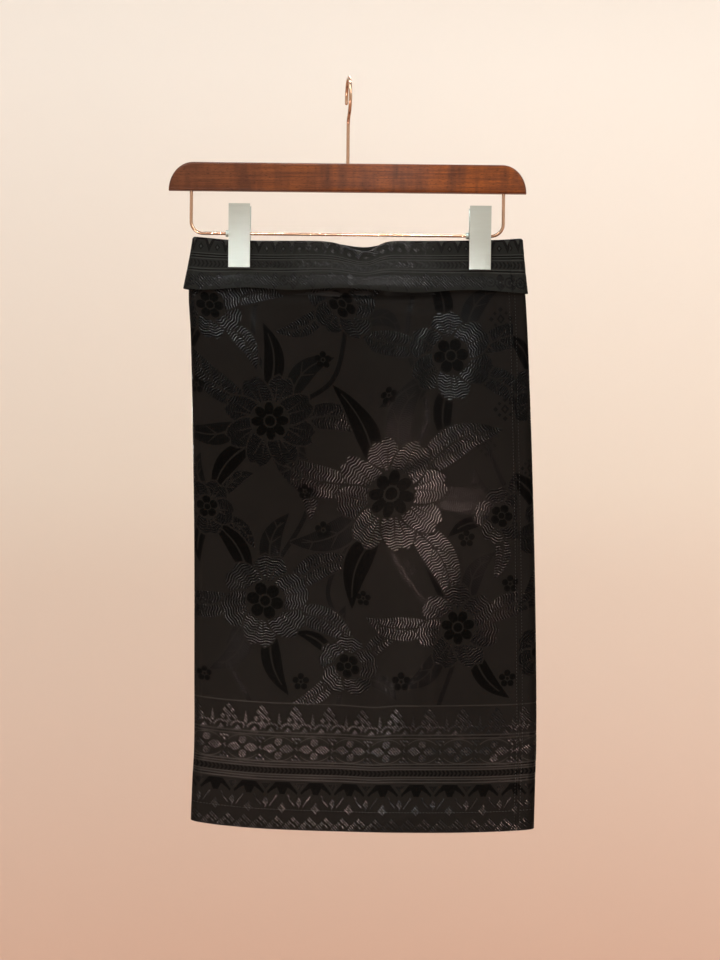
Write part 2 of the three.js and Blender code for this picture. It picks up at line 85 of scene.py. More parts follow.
# x, depth, run to the left and run to the right of the top edge's sag
FRONT_DIP = (17, 10.5, 24, 14)
BACK_DIP = (16, 5.0, 26, 20)
# x and how far the band's free edge stands off
BAND_FLARE = [(-162, 4.2), (-130, 3.4), (-60, 3.6), (0, 5.6), (60, 6.0), (110, 4.0), (150, 2.4), (178, 1.2)]

# Soft ridges and troughs: x, drop, lean from upright in degrees, half length, half width, rise
FRONT_FOLDS = [
    (48, 238, 80, 44, 11, 2.2), (20, 262, 22, 34, 13, -1.8), (92, 284, 20, 52, 14, 3.2),
    (122, 300, 14, 60, 16, -2.2), (-136, 250, -24, 38, 11, 2.2), (-84, 300, 10, 78, 24, -2.2),
    (52, 418, 52, 58, 30, 4.5), (130, 470, -8, 90, 22, -2.2), (-104, 470, -6, 90, 28, 2.2),
    (-40, 520, 8, 110, 26, -2.6), (78, 566, 18, 92, 22, 3.4), (20, 640, 14, 80, 20, -2.0),
    (-92, 690, 40, 80, 32, 3.0), (140, 680, 26, 70, 22, 2.4), (40, 742, 86, 52, 16, 1.8),
    (-128, 726, 60, 26, 14, -1.6),
]
BACK_FOLDS = [
    (40, 246, 74, 40, 12, 1.6), (-70, 290, -16, 60, 18, 2.8), (84, 310, 12, 70, 20, -2.0),
    (-18, 400, -30, 80, 28, -2.4), (110, 450, -12, 90, 24, 2.8), (-106, 520, 8, 110, 26, 2.4),
    (36, 580, 16, 100, 26, 3.4), (130, 640, -10, 80, 22, -2.2), (-52, 690, -22, 70, 24, -1.6),
    (20, 740, 84, 60, 16, 1.6),
]
# Finer creases, which only the looks have: in the same columns
FRONT_CREASES = [
    (10, 215, 90, 150, 4.0, -2.4),
    (64, 222, 84, 30, 3.2, 0.9), (80, 229, 74, 26, 3.0, -0.7), (54, 234, 96, 22, 3.4, 0.7),
    (98, 226, 60, 20, 3.2, 0.8), (30, 226, 98, 24, 3.6, 0.6), (74, 244, 16, 26, 4.2, 0.7),
    (84, 262, 12, 40, 4.6, 0.8), (102, 270, 18, 44, 4.4, -0.6), (112, 246, 30, 24, 4.0, 0.6),
    (-128, 232, 70, 24, 3.8, 0.7), (-112, 236, 60, 20, 3.4, -0.5), (-144, 262, -10, 28, 3.8, 0.6),
    (-96, 244, -30, 26, 4.4, 0.5), (-60, 226, 86, 26, 3.6, 0.4), (10, 300, 24, 36, 5.0, 0.5),
    (149, 226, 14, 10, 2.2, 0.8), (157, 228, 8, 11, 2.2, 0.8), (141, 228, 20, 12, 2.6, -0.5),
    (60, 396, 66, 34, 7.0, 0.8), (84, 428, 48, 32, 7.0, -0.7), (30, 446, 58, 30, 7.0, 0.7),
    (64, 520, 12, 34, 6.5, 0.6), (88, 596, 14, 40, 6.0, 0.7), (70, 640, 20, 34, 6.0, -0.5),
    (-108, 668, 66, 34, 6.0, 0.7), (-130, 648, 40, 26, 5.4, 0.6), (-84, 716, 50, 34, 6.2, -0.5),
    (-146, 690, 6, 34, 4.6, 0.5), (58, 736, 78, 26, 5.0, 0.6), (26, 730, 96, 24, 4.6, 0.5),
    (166, 420, -3, 60, 3.0, 0.4), (169, 560, 2, 70, 3.0, 0.4), (168, 690, -2, 50, 3.0, 0.4),
]
BACK_CREASES = [
    (0, 215, 90, 150, 4.0, -2.0),
    (58, 228, 82, 28, 3.4, 0.8), (22, 232, 96, 24, 3.4, 0.6), (92, 232, 66, 22, 3.2, -0.6),
    (-128, 234, 66, 24, 3.8, 0.6), (-58, 250, -24, 34, 4.6, 0.7), (-84, 268, -12, 40, 4.6, -0.6),
    (104, 262, 20, 40, 4.6, 0.6), (20, 330, -26, 46, 6.0, 0.6), (-30, 420, -40, 38, 7.0, -0.6),
    (96, 436, -20, 44, 7.0, 0.7), (44, 560, 20, 46, 6.4, 0.7), (-96, 530, 4, 50, 7.0, 0.6),
    (118, 650, -8, 40, 6.0, -0.5), (-60, 680, -30, 40, 6.4, 0.6), (30, 728, 84, 34, 5.0, 0.6),
]

# The jaws' grip on the cloth
CLOTH_AT_CLIPS = (-109.0, 131.1)
FLAT_ROUND_CLIP = 13.0
PINCH_RUN = 60.0
PINCH_FADE = (190.0, 290.0)

# Hanger, which tilts about the rod that carries it
TILT = math.radians(0.6)
BAR = dict(length=357.0, top=84.6, height=28.3, thick=13.0, end_run=24.0, bevel=2.6)
HOOK = dict(wire=3.4, radius=20.0, bend=10.0, turn=math.radians(6), tip=math.radians(97), in_bar=24.0)
RAIL = dict(wire=3.3, half_span=156.0, corner=12.0, drop=155.3, in_bar=12.0)
CLIPS = (("left", -107.3), ("right", 132.8))
PAST_MOUTH = 2.0  # how far a hole's cutter stands out of the bar
PAST_WIRE = 0.6  # and the hole goes on past the wire's end
SPRING = dict(radius=2.5, wire=0.52, length=15.6, turns=13, sides=6)
COLLAR = dict(hole=1.95, radius=3.4, half=1.5, away=12.45, soft=0.4, sides=28)


def smooth_step(x, low, high):
    t = np.clip((x - low) / (high - low), 0, 1)
    return t * t * (3 - 2 * t)


def smooth_through(xs, ys, x):
    """A smooth function through points, as in the part's own source."""
    xs, ys = np.asarray(xs, float), np.asarray(ys, float)
    index = np.arange(len(xs))
    before, after = np.maximum(index - 1, 0), np.minimum(index + 1, len(xs) - 1)
    slopes = (ys[after] - ys[before]) / (xs[after] - xs[before])
    x = np.clip(x, xs[0], xs[-1])
    i = np.clip(np.searchsorted(xs, x) - 1, 0, len(xs) - 2)
    span = xs[i + 1] - xs[i]
    t = (x - xs[i]) / span
    ends = (1 + 2 * t) * (1 - t) ** 2 * ys[i] + (3 - 2 * t) * t * t * ys[i + 1]
    return ends + span * (t * (1 - t) ** 2 * slopes[i] + t * t * (t - 1) * slopes[i + 1])


def through_rows(rows, x):
    xs, ys = zip(*rows)
    return smooth_through(xs, ys, x)


def near_clip(x):
    far = np.minimum(*(np.abs(x - at) for at in CLOTH_AT_CLIPS))
    return 1 - smooth_step(far, FLAT_ROUND_CLIP, PINCH_RUN)


def fold_rise(folds, x, drop):
    rise = np.zeros_like(x)
    for at, low, lean, run, spread, height in folds:
        lean = math.radians(lean)
        right, up = x - at, low - drop
        along = (right * math.sin(lean) + up * math.cos(lean)) / run
        across = (right * math.cos(lean) - up * math.sin(lean)) / spread
        rise += height * np.exp(-along * along - across * across)
    return rise


def cloth_point(station, drop):
    """The body cloth's outer face. A station goes once round the tube, in six parts."""
    around = np.mod(station, PARTS)
    part = np.minimum(np.floor(around).astype(int), PARTS - 1)
    t = around - part
    left, right, fold, belly = (smooth_through(SECTIONS[:, 0], SECTIONS[:, k], drop) for k in range(1, 5))
    straight = right - left - 2 * fold
    turn = t * math.pi / 2
    flat = (part == 1) | (part == 4)
    depth = fold + np.where(flat, belly * (4 * t * (1 - t)) ** 2, 0)
    x = np.choose(part, [
        left + fold * (1 - np.cos(turn)), left + fold + straight * t, right - fold * (1 - np.sin(turn)),
        right - fold * (1 - np.cos(turn)), right - fold - straight * t, left + fold * (1 - np.sin(turn)),
    ])
    one = np.ones_like(t)
    facing = np.choose(part, [-np.sin(turn), -one, -np.cos(turn), np.sin(turn), one, np.cos(turn)])
    held = near_clip(x) * (1 - smooth_step(drop, *PINCH_FADE))
    folds = np.where(
        around < PARTS / 2,
        fold_rise(FRONT_FOLDS + FRONT_CREASES, x, drop),
        fold_rise(BACK_FOLDS + BACK_CREASES, x, drop),
    )
    out = depth + (CLAMPED - depth) * held + folds * np.abs(facing) * (1 - held)
    return np.stack([x, facing * out, -drop], axis=-1)


def unit(vectors):
    return vectors / np.maximum(np.linalg.norm(vectors, axis=-1, keepdims=True), 1e-9)


def cloth_offset(station, drop, out):
    """That face moved out along its normal."""
    step = 1e-3
    across = cloth_point(station + step, drop) - cloth_point(station - step, drop)
    down = cloth_point(station, drop + step) - cloth_point(station, drop - step)
    return cloth_point(station, drop) + unit(np.cross(down, across)) * np.asarray(out)[..., None]


def x_at(station, drop):
    """Where a station lies across the width, at a drop."""
    return cloth_point(station, np.full_like(station, float(drop)))[..., 0]


def top_drop(station):
    """How low the top edge is, with its sag between the clips."""
    x = x_at(station, SECTIONS[0, 0])
    sag = np.zeros_like(x)
    for is_side, (at, depth, left_run, right_run) in (
        (station < PARTS / 2, FRONT_DIP),
        (station >= PARTS / 2, BACK_DIP),
    ):
        run = np.where(x < at, left_run, right_run)
        sag += is_side * depth * np.exp(-(((x - at) / run) ** 2))
    return through_rows(BAND_TOP, x) + sag


def line_drop(rows, station):
    """How low a line across the width is, at a station."""
    return through_rows(rows, x_at(station, rows[0][1]))


# Each panel's flat width, from its stations: the length of every part of the way round
PART_LENGTHS = (12.6, 330.0, 12.6, 12.6, 330.0, 12.6)
PART_STARTS = np.concatenate([[0], np.cumsum(PART_LENGTHS)])
FOLD_GAP = FOLD_SLIT / 2 / ((SECTIONS[0, 3] + SECTIONS[-1, 3]) / 2 * math.pi / 2)
SEAM_GAP = GAP / 2 / (SECTIONS[0, 2] - SECTIONS[0, 1])
FRONT_ENDS = (FOLD_GAP, 1 + SEAM_AT - SEAM_GAP)
BACK_ENDS = (1 + SEAM_AT + SEAM_GAP, PARTS - FOLD_GAP)


def girth_at(station):
    return float(np.interp(station, range(PARTS + 1), PART_STARTS))


def station_at(ends, u):
    return np.interp(girth_at(ends[0]) + u, PART_STARTS, range(PARTS + 1))


def panel_width(ends):
    return girth_at(ends[1]) - girth_at(ends[0])


# Flat heights, and how far each face of the band lies from the body cloth's outer face
BODY_HEIGHT = 587.0
BAND_LEG = 47.0
CAP_OUT = (GAP + BAND_THICK + BODY_THICK + GAP + BAND_LINING) / 2
CAP_IN = (GAP + BODY_THICK + GAP) / 2
BAND_OUTER = GAP + BAND_THICK
BAND_INNER = -BODY_THICK - GAP - BAND_LINING
CAP_LENGTH = math.pi * CAP_OUT
BAND_HEIGHT = BAND_LEG + CAP_LENGTH + BAND_TUCK
FREE_BELOW_CLIP = 0.6  # the share of the outer leg that a jaw holds flat
FLARE_CURVE = 1.5  # above 1, the leg opens mostly near its free edge


def body_place(ends):
    """Where a body panel's flat point lies, outside or inside."""

    def place(u, y, inside):
        station = station_at(ends, u)
        top = top_drop(station) + BODY_TOP_GAP
        drop = top + (line_drop(HEM, station) - top) * (1 - y / BODY_HEIGHT)
        doubled = 1 - smooth_step(y, HEM_HEIGHT, HEM_HEIGHT + HEM_STEP)
        thick = BODY_THICK + (HEM_THICK - BODY_THICK) * doubled
        return cloth_offset(station, drop, -thick if inside else np.zeros_like(thick))

    return place


def band_flare(station, share):
    """How far the band's outer leg stands off, a share of the way down it."""
    x = x_at(station, BAND_LOW[0][1])
    below_clip = np.clip((share - FREE_BELOW_CLIP) / (1 - FREE_BELOW_CLIP), 0, 1)
    pressed = near_clip(x)
    return through_rows(BAND_FLARE, x) * (share + (below_clip - share) * pressed) ** FLARE_CURVE


def band_place(ends):
    """Where a waistband's flat point lies: up its outer leg, over the fold and down its inner leg."""

    def place(u, y, inside):
        station = station_at(ends, u)
        cap_drop = top_drop(station) + CAP_OUT
        share = np.clip(1 - y / BAND_LEG, 0, 1)
        leg_drop = cap_drop + (line_drop(BAND_LOW, station) - cap_drop) * share
        leg_out = (GAP if inside else BAND_OUTER) + band_flare(station, share)
        angle = np.clip((y - BAND_LEG) / CAP_LENGTH, 0, 1) * math.pi
        radius = CAP_IN if inside else CAP_OUT
        middle = (BAND_OUTER + BAND_INNER) / 2
        tuck = np.clip(y - BAND_LEG - CAP_LENGTH, 0, None)
        drop = np.where(y <= BAND_LEG, leg_drop, cap_drop - radius * np.sin(angle) + tuck)
        out = np.where(y <= BAND_LEG, leg_out, middle + radius * np.cos(angle))
        return cloth_offset(station, drop, out)

    return place


# Woven finishes, which are also material places on a panel
GROUND, RIBBED, FINE, FLAT, TWILL, PALE, PLAIN = range(7)

LONGEST_EDGE = 5.0  # of a pattern's outline


def with_short_edges(points):
    """The same outline with points added on its long edges, so that it can follow the cloth."""
    parts = []
    for a, b in zip(points, np.roll(points, -1, axis=0)):
        count = max(math.ceil(math.dist(a, b) / LONGEST_EDGE), 1)
        parts.append(a + (b - a) * np.arange(count)[:, None] / count)
    return np.concatenate(parts)


class Pattern:
    """Woven shapes in a panel's flat coordinates. A later shape lies over the earlier ones."""

    def __init__(self):
        self.shapes = []

    def add(self, points, finish, ribs=None):
        points = np.asarray(points, float)
        x, y = points.T
        if np.sum(x * np.roll(y, -1) - np.roll(x, -1) * y) < 0:
            points = points[::-1]
        self.shapes.append((with_short_edges(points), finish, ribs))


def straight_ribs(start, angle):
    """Coordinates for ribs across a direction, in degrees."""
    c, s = math.cos(math.radians(angle)), math.sin(math.radians(angle))

    def coordinates(points):
        right, up = points[:, 0] - start[0], points[:, 1] - start[1]
        return np.stack([-right * s + up * c, right * c + up * s], axis=-1)

    return coordinates


def round_ribs(centre, arc_radius):
    """Coordinates for ribs round a centre."""

    def coordinates(points):
        right, up = points[:, 0] - centre[0], points[:, 1] - centre[1]
        return np.stack([np.arctan2(up, right) * arc_radius, np.hypot(right, up)], axis=-1)

    return coordinates


def direction(degrees):
    return np.array([math.cos(math.radians(degrees)), math.sin(math.radians(degrees))])


def lengths_along(points):
    """How far along a line each of its points lies."""
    return np.concatenate([[0], np.cumsum(np.linalg.norm(np.diff(points, axis=0), axis=1))])


def curve_through(points, step):
    """A smooth open curve through points."""
    points = np.asarray(points, float)
    lengths = lengths_along(points)
    t = np.linspace(0, lengths[-1], max(int(lengths[-1] / step), 3))
    return np.stack([smooth_through(lengths, points[:, k], t) for k in (0, 1)], axis=-1)


def ribbon(line, widths):
    """The outline of a strip along a line, with a width at each of its points."""
    ahead = unit(np.gradient(line, axis=0))
    side = np.stack([-ahead[:, 1], ahead[:, 0]], axis=-1) * np.asarray(widths)[:, None] / 2
    return np.concatenate([line - side, (line + side)[::-1]])


def circle(centre, radius, count):
    return np.array([centre + radius * direction(a) for a in np.linspace(0, 360, count, endpoint=False)])


HALO = 1.9  # the ground's outline round a shape that lies over others
STEM_WIDTH = 4.5


def stem(pattern, points):
    line = curve_through(points, 6.0)
    heading = np.degrees(np.arctan2(*(line[-1] - line[0])[::-1]))
    pattern.add(ribbon(line, np.full(len(line), STEM_WIDTH + 2 * HALO)), GROUND)
    pattern.add(ribbon(line, np.full(len(line), STEM_WIDTH)), FINE, straight_ribs(line[0], heading))


def leaf_axis(base, tip, bend, count):
    base, tip = np.asarray(base, float), np.asarray(tip, float)
    run = tip - base
    side = np.array([-run[1], run[0]]) * bend
    t = np.linspace(0, 1, count)[:, None]
    return base + run * t + side * (4 * t * (1 - t)) ** 1.2


def leaf_widths(width, count, fullest):
    t = np.linspace(0, 1, count)
    return width * np.sin(math.pi * t**fullest) ** 0.9 + 0.15


def leaf(pattern, base, tip, width, bend, finish, veins):
    """A pointed leaf with a pale midrib, and pale side veins where it has them."""
    count = max(int(math.dist(base, tip) / 5), 8)
    axis = leaf_axis(base, tip, bend, count)
    heading = math.degrees(math.atan2(tip[1] - base[1], tip[0] - base[0]))
    widths = leaf_widths(width, count, 0.8)
    pattern.add(ribbon(axis, widths + 2 * HALO), GROUND)
    pattern.add(ribbon(axis, widths), finish, straight_ribs(base, heading))
    if width < 9:
        return
    inner = axis[1:-2]
    pattern.add(ribbon(inner, np.linspace(2.4, 1.2, len(inner))), GROUND)
    for k in range(veins):
        at = 0.16 + 0.6 * k / max(veins - 1, 1)
        i = int(at * (count - 1))
        root, reach = axis[i], widths[i] * 0.62
        for side in (-1, 1):
            end = root + direction(heading + side * 38) * reach
            pattern.add(ribbon(np.array([root, (root + end) / 2, end]), [1.6, 1.4, 0.7]), GROUND)


def petal_outline(centre, turn, inner, outer, width, notch=0.06, count=9):
    """A petal that points away from a centre, with a notched tip."""
    t = np.linspace(0, 1, count)
    radius = inner + (outer - inner) * t
    half = width / 2 * np.sin(math.pi * (0.1 + 0.74 * t)) ** 0.8
    half[-1] = width * 0.2
    ahead = direction(turn)
    side = np.array([-ahead[1], ahead[0]])
    middle, reach = centre + ahead * radius[:, None], side * half[:, None]
    tip = centre + ahead * (outer * (1 - notch))
    return np.concatenate([middle - reach, [tip], (middle + reach)[::-1]])


def blossom(pattern, centre, radius, petals, turn):
    """An open flower: overlapping petals with pale veins, a small inner ring and a dotted middle."""
    centre = np.asarray(centre, float)
    width = 2 * math.pi * radius * 0.62 / petals * 1.18
    for k in range(petals):
        way = turn + 360 * k / petals
        ribs = round_ribs(centre, radius * 0.7)
        pattern.add(petal_outline(centre, way, 0, radius + HALO, width + 2 * HALO), GROUND)
        pattern.add(petal_outline(centre, way, radius * 0.14, radius, width), RIBBED, ribs)
        for lean in (-9, 9):
            vein = [centre + radius * share * direction(way + lean * share) for share in (0.42, 0.6, 0.8)]
            pattern.add(ribbon(np.array(vein), [1.6, 1.5, 0.6]), GROUND)
    inner = radius * 0.4
    pattern.add(circle(centre, inner + HALO, 24), GROUND)
    for k in range(petals):
        way = turn + 360 * (k + 0.5) / petals
        outline = petal_outline(centre, way, radius * 0.12, inner, inner * 2.6 / petals * 1.5, 0.0, 6)
        pattern.add(outline, FLAT, round_ribs(centre, inner))
    pattern.add(circle(centre, radius * 0.15, 12), GROUND)
    pattern.add(circle(centre, radius * 0.11, 12), FLAT)


def floret(pattern, centre, radius):
    """A small flower of five round petals."""
    centre = np.asarray(centre, float)
    for k in range(5):
        way = direction(90 + 72 * k)
        pattern.add(circle(centre + way * radius * 0.62, radius * 0.36, 9), FLAT)
    pattern.add(circle(centre, radius * 0.3, 8), GROUND)
    pattern.add(circle(centre, radius * 0.17, 6), FLAT)


def lozenge(centre, half_width, half_height):
    x, y = centre
    return [(x + half_width, y), (x, y + half_height), (x - half_width, y), (x, y - half_height)]


def star(pattern, centre, radius):
    """A lozenge among eight small ones, as in songket cloth."""
    x, y = centre
    pattern.add(lozenge(centre, radius * 0.42, radius * 0.5), FINE, straight_ribs(centre, 45))
    pattern.add(lozenge(centre, radius * 0.2, radius * 0.26), GROUND)
    for k in range(8):
        way = direction(k * 45) * radius * (0.8 if k % 2 else 0.95)
        size = radius * (0.2 if k % 2 else 0.26)
        pattern.add(lozenge((x + way[0], y + way[1]), size, size), FINE, straight_ribs(centre, 45))


# The flowing field over the border, as winding stems with flowers among fans of leaves, and small florets
# and stars between them. A flower: centre, radius, petals, turn and the directions of its leaves
FRONT_STEMS = [
    [(60, 126), (38, 178), (86, 262), (122, 330), (104, 420), (70, 486), (92, 588)],
    [(252, 126), (268, 190), (214, 262), (196, 330), (244, 410), (226, 490), (250, 588)],
    [(150, 126), (158, 190), (140, 240), (170, 300)],
    [(196, 330), (292, 392), (322, 344)],
    [(104, 420), (150, 452), (168, 530)],
]
FRONT_FLOWERS = [
    ((160, 166), 30, 5, 84, (28, 92, 150, 215, 325)),
    ((318, 314), 28, 5, 100, (52, 118, 200, 262)),
    ((18, 318), 27, 5, 60, (38, 96, 262, 322)),
    ((28, 522), 34, 6, 90, (8, 62, 246, 305)),
    ((162, 530), 34, 5, 90, (20, 82, 152, 205, 330)),
    ((270, 474), 44, 6, 96, (8, 52, 104, 158, 212, 268, 322)),
    ((84, 408), 47, 8, 70, (-4, 44, 92, 138, 186, 232, 292)),
    ((272, 204), 42, 7, 90, (12, 62, 118, 172, 226, 306)),
    ((76, 228), 46, 6, 80, (24, 74, 126, 178, 232, 284, 334)),
    ((206, 338), 58, 8, 100, (28, 72, 118, 162, 206, 250, 298, 344)),
]
FRONT_FLORETS = [
    ((112, 148), 9), ((214, 150), 10), ((322, 152), 9), ((136, 300), 9), ((176, 236), 8), ((326, 246), 9),
    ((140, 470), 9), ((206, 436), 9), ((314, 556), 9), ((10, 440), 9), ((282, 292), 9), ((14, 150), 8),
    ((98, 560), 9), ((216, 556), 9), ((118, 338), 8),
]
FRONT_STARS = [((324, 420), 10), ((304, 384), 9), ((322, 510), 10), ((12, 222), 8), ((222, 262), 8)]

BACK_STEMS = [
    [(72, 126), (96, 186), (52, 262), (40, 340), (88, 420), (74, 500), (96, 588)],
    [(196, 126), (176, 190), (222, 270), (236, 350), (196, 430), (204, 510), (180, 588)],
    [(318, 126), (334, 190), (296, 262), (290, 340), (332, 420), (316, 500), (338, 588)],
]
BACK_FLOWERS = [
    ((24, 176), 28, 5, 70, (20, 84, 300)),
    ((122, 176), 34, 6, 80, (18, 78, 140, 200, 330)),
    ((224, 172), 30, 5, 90, (22, 90, 150, 215, 325)),
    ((342, 190), 40, 7, 90, (60, 118, 170, 228, 300)),
    ((40, 294), 40, 6, 70, (20, 74, 130, 240, 300)),
    ((30, 430), 36, 6, 84, (10, 66, 120, 300)),
    ((120, 540), 40, 7, 90, (16, 70, 128, 190, 250, 310)),
    ((350, 350), 36, 6, 96, (50, 110, 170, 226, 280)),
    ((234, 548), 34, 5, 60, (20, 80, 150, 210, 330)),
    ((336, 500), 44, 8, 90, (40, 96, 150, 204, 258, 312)),
    ((230, 420), 50, 8, 80, (12, 60, 106, 152, 200, 250, 300, 340)),
    ((150, 322), 56, 8, 90, (24, 70, 116, 160, 206, 252, 298, 342)),
]
BACK_FLORETS = [
    ((76, 148), 9), ((282, 150), 9), ((366, 270), 9), ((238, 290), 9), ((96, 236), 9), ((290, 420), 9),
    ((150, 440), 9), ((180, 510), 9), ((70, 490), 8), ((292, 280), 9), ((364, 430), 8), ((66, 374), 8),
]
BACK_STARS = [((180, 236), 9), ((290, 560), 9), ((14, 360), 8), ((366, 566), 8), ((24, 560), 9)]

# The fans' leaves take turns in reach, width and bend, as shares of the flower's radius, and in finish
FAN = [(2.25, 0.56, 0.14, RIBBED, 4), (2.0, 0.46, 0.16, FINE, 3), (2.1, 0.44, -0.12, FLAT, 0)]


def field(pattern, stems, flowers, florets, stars):
    for points in stems:
        stem(pattern, points)
    for centre, radius, _, _, ways in flowers:
        for k, way in enumerate(ways):
            reach, width, bend, finish, veins = FAN[k % len(FAN)]
            tip = np.asarray(centre) + direction(way) * radius * reach
            base = np.asarray(centre) + direction(way) * radius * 0.6
            leaf(pattern, tuple(base), tuple(tip), radius * width, bend, finish, veins)
    for centre, radius, petals, turn, _ in flowers:
        blossom(pattern, centre, radius, petals, turn)
    for centre, radius in florets:
        floret(pattern, centre, radius)
    for centre, radius in stars:
        star(pattern, centre, radius)


def repeats(width, pitch, shift=0.5):
    """The middles of a row's repeats, which go on past both edges."""
    count = int(width / pitch) + 3
    return (np.arange(count) - 1 + shift) * pitch


def chevron_row(pattern, width, low, high, pitch, finish=FLAT):
    """A rope of small slanted strokes."""
    middle = (low + high) / 2
    for x in repeats(width, pitch):
        for start, end in ((low, middle), (high, middle)):
            outline = [(x, start), (x + pitch * 0.5, start), (x + pitch * 0.95, end), (x + pitch * 0.45, end)]
            pattern.add(outline, finish, straight_ribs((0, 0), 45))


def figure(pattern, outline, finish=TWILL):
    """A small figure of twill in a border."""
    pattern.add(outline, finish, straight_ribs(outline[0], 45))


def ringed(pattern, x, y, radius):
    """A bead with a pale middle."""
    figure(pattern, circle(np.array([x, y]), radius, 9))
    pattern.add(circle(np.array([x, y]), radius * 0.36, 6), PALE)


def framed_lozenge(pattern, x, y, half_width, half_height):
    figure(pattern, lozenge((x, y), half_width, half_height))
    pattern.add(lozenge((x, y), half_width * 0.4, half_height * 0.4), PALE)


def leaf_outline(base, tip, width):
    axis = leaf_axis(base, tip, 0.0, 7)
    return ribbon(axis, leaf_widths(width, 7, 1.0))


def sprig(pattern, x, y, width, height):
    """A stepped sprig of small lozenges on a stalk."""
    for across, up, size in (
        (0, 0.1, 0.17), (-0.36, 0.3, 0.17), (0.36, 0.3, 0.17), (0, 0.4, 0.24),
        (-0.22, 0.62, 0.16), (0.22, 0.62, 0.16), (0, 0.84, 0.18),
    ):
        figure(pattern, lozenge((x + across * width, y + up * height), size * width, size * width))


def crown_row(pattern, width, low, pitch):
    """Sprigs and spikes over scallops."""
    for x in repeats(width, pitch, 0.15):
        sprig(pattern, x, low + 6.5, 17, 20)
        spike = x + pitch / 2
        figure(pattern, [(spike - 2.4, low + 7), (spike + 2.4, low + 7), (spike, low + 19)])
        for side in (-1, 1):
            middle = np.array([x + side * pitch / 4, low + 0.6])
            arc = np.array([middle + 7.4 * direction(a) for a in range(15, 166, 15)])
            figure(pattern, ribbon(arc, np.full(len(arc), 2.2)))
            foot = middle[0]
            figure(pattern, [(foot - 3.2, low), (foot + 3.2, low), (foot, low + 4.4)])


def flower_row(pattern, width, middle, pitch):
    """Flowers of two long and two round petals, with brackets and dots between them."""
    for x in repeats(width, pitch, 0.45):
        between = x + pitch / 2
        for side in (-1, 1):
            figure(pattern, leaf_outline((x + side * 1.4, middle), (x + side * 15.4, middle), 8.4))
            pattern.add(lozenge((x + side * 7.6, middle), 2.6, 1.4), PALE)
            ringed(pattern, x, middle + side * 6.8, 3.9)
            for across, up in ((0, 7.0), (-3.2, 10.2), (3.2, 10.2), (0, 10.6)):
                figure(pattern, lozenge((between + across, middle + side * up), 1.7, 1.7))
            ends = np.radians(np.arange(38, 143, 8))
            arc = np.array([
                (x + 18.4 * math.cos(a), middle + side * (14.6 * math.sin(a) - 2.6)) for a in ends
            ])
            pattern.add(ribbon(arc, np.full(len(arc), 0.9)), PALE)
        framed_lozenge(pattern, between, middle, 2.2, 3.0)


def petal_row(pattern, width, low, high, pitch):
    """Large petals of the ground's own colour on dark, with framed lozenges between them."""
    for x in repeats(width, pitch, 0.3):
        half = pitch / 2
        dark = [
            (x - half, high), (x + half, high), (x + half, high - 12), (x + 7, high - 13),
            (x, low + 12), (x - 7, high - 13), (x - half, high - 12),
        ]
        figure(pattern, dark, FLAT)
        for side in (-1, 1):
            base, tip = (x + side * 3.2, low - 2), (x + side * 11.6, high - 5.5)
            pattern.add(leaf_outline(base, tip, 15.6), GROUND)
            vein = np.array([np.add(base, (0, 7)), np.add(tip, (0, -8))])
            figure(pattern, ribbon(vein, [1.0, 1.6]))
        figure(pattern, [(x - 10.0, high), (x + 10.0, high), (x, high - 12.0)], GROUND)
        figure(pattern, [(x - 4.6, high - 1.6), (x + 4.6, high - 1.6), (x, high - 7.6)], FINE)
        pattern.add(leaf_outline((x, low - 3), (x, high - 8), 9.0), GROUND)
        framed_lozenge(pattern, x, low + 10, 3.2, 5.2)
        framed_lozenge(pattern, x + half, low + 4.6, 4.4, 5.4)


def foot_row(pattern, width, pitch):
    """Small clusters and triangles along the hem."""
    for x in repeats(width, pitch):
        for across, up, size in ((-4.2, 7.4, 2.7), (0, 11.0, 3.0), (4.2, 7.4, 2.7), (0, 4.4, 2.4)):
            figure(pattern, lozenge((x + across, up), size, size))
        figure(pattern, [(x + 3.6, 0.8), (x + 13.0, 0.8), (x + 8.3, 6.8)])


def lines(pattern, width, lows, thick, finish):
    """Lines right across a panel."""
    for low in lows:
        outline = [(-1, low), (width + 1, low), (width + 1, low + thick), (-1, low + thick)]
        pattern.add(outline, finish, straight_ribs((0, 0), 90))


def border(pattern, width):
    """The hem's border: rows of traditional figures between lines."""
    lines(pattern, width, (125.6,), 1.0, PALE)
    crown_row(pattern, width, 97.6, 34.0)
    lines(pattern, width, (96.4, 93.2), 1.1, PALE)
    lines(pattern, width, (94.6,), 1.2, FINE)
    flower_row(pattern, width, 80.6, 36.5)
    lines(pattern, width, (67.4, 64.6, 62.2, 54.6, 52.2, 49.4), 1.1, PALE)
    lines(pattern, width, (65.8, 50.8), 1.3, FINE)
    chevron_row(pattern, width, 55.9, 61.9, 4.1)
    petal_row(pattern, width, 17.0, 47.6, 34.0)
    foot_row(pattern, width, 16.6)


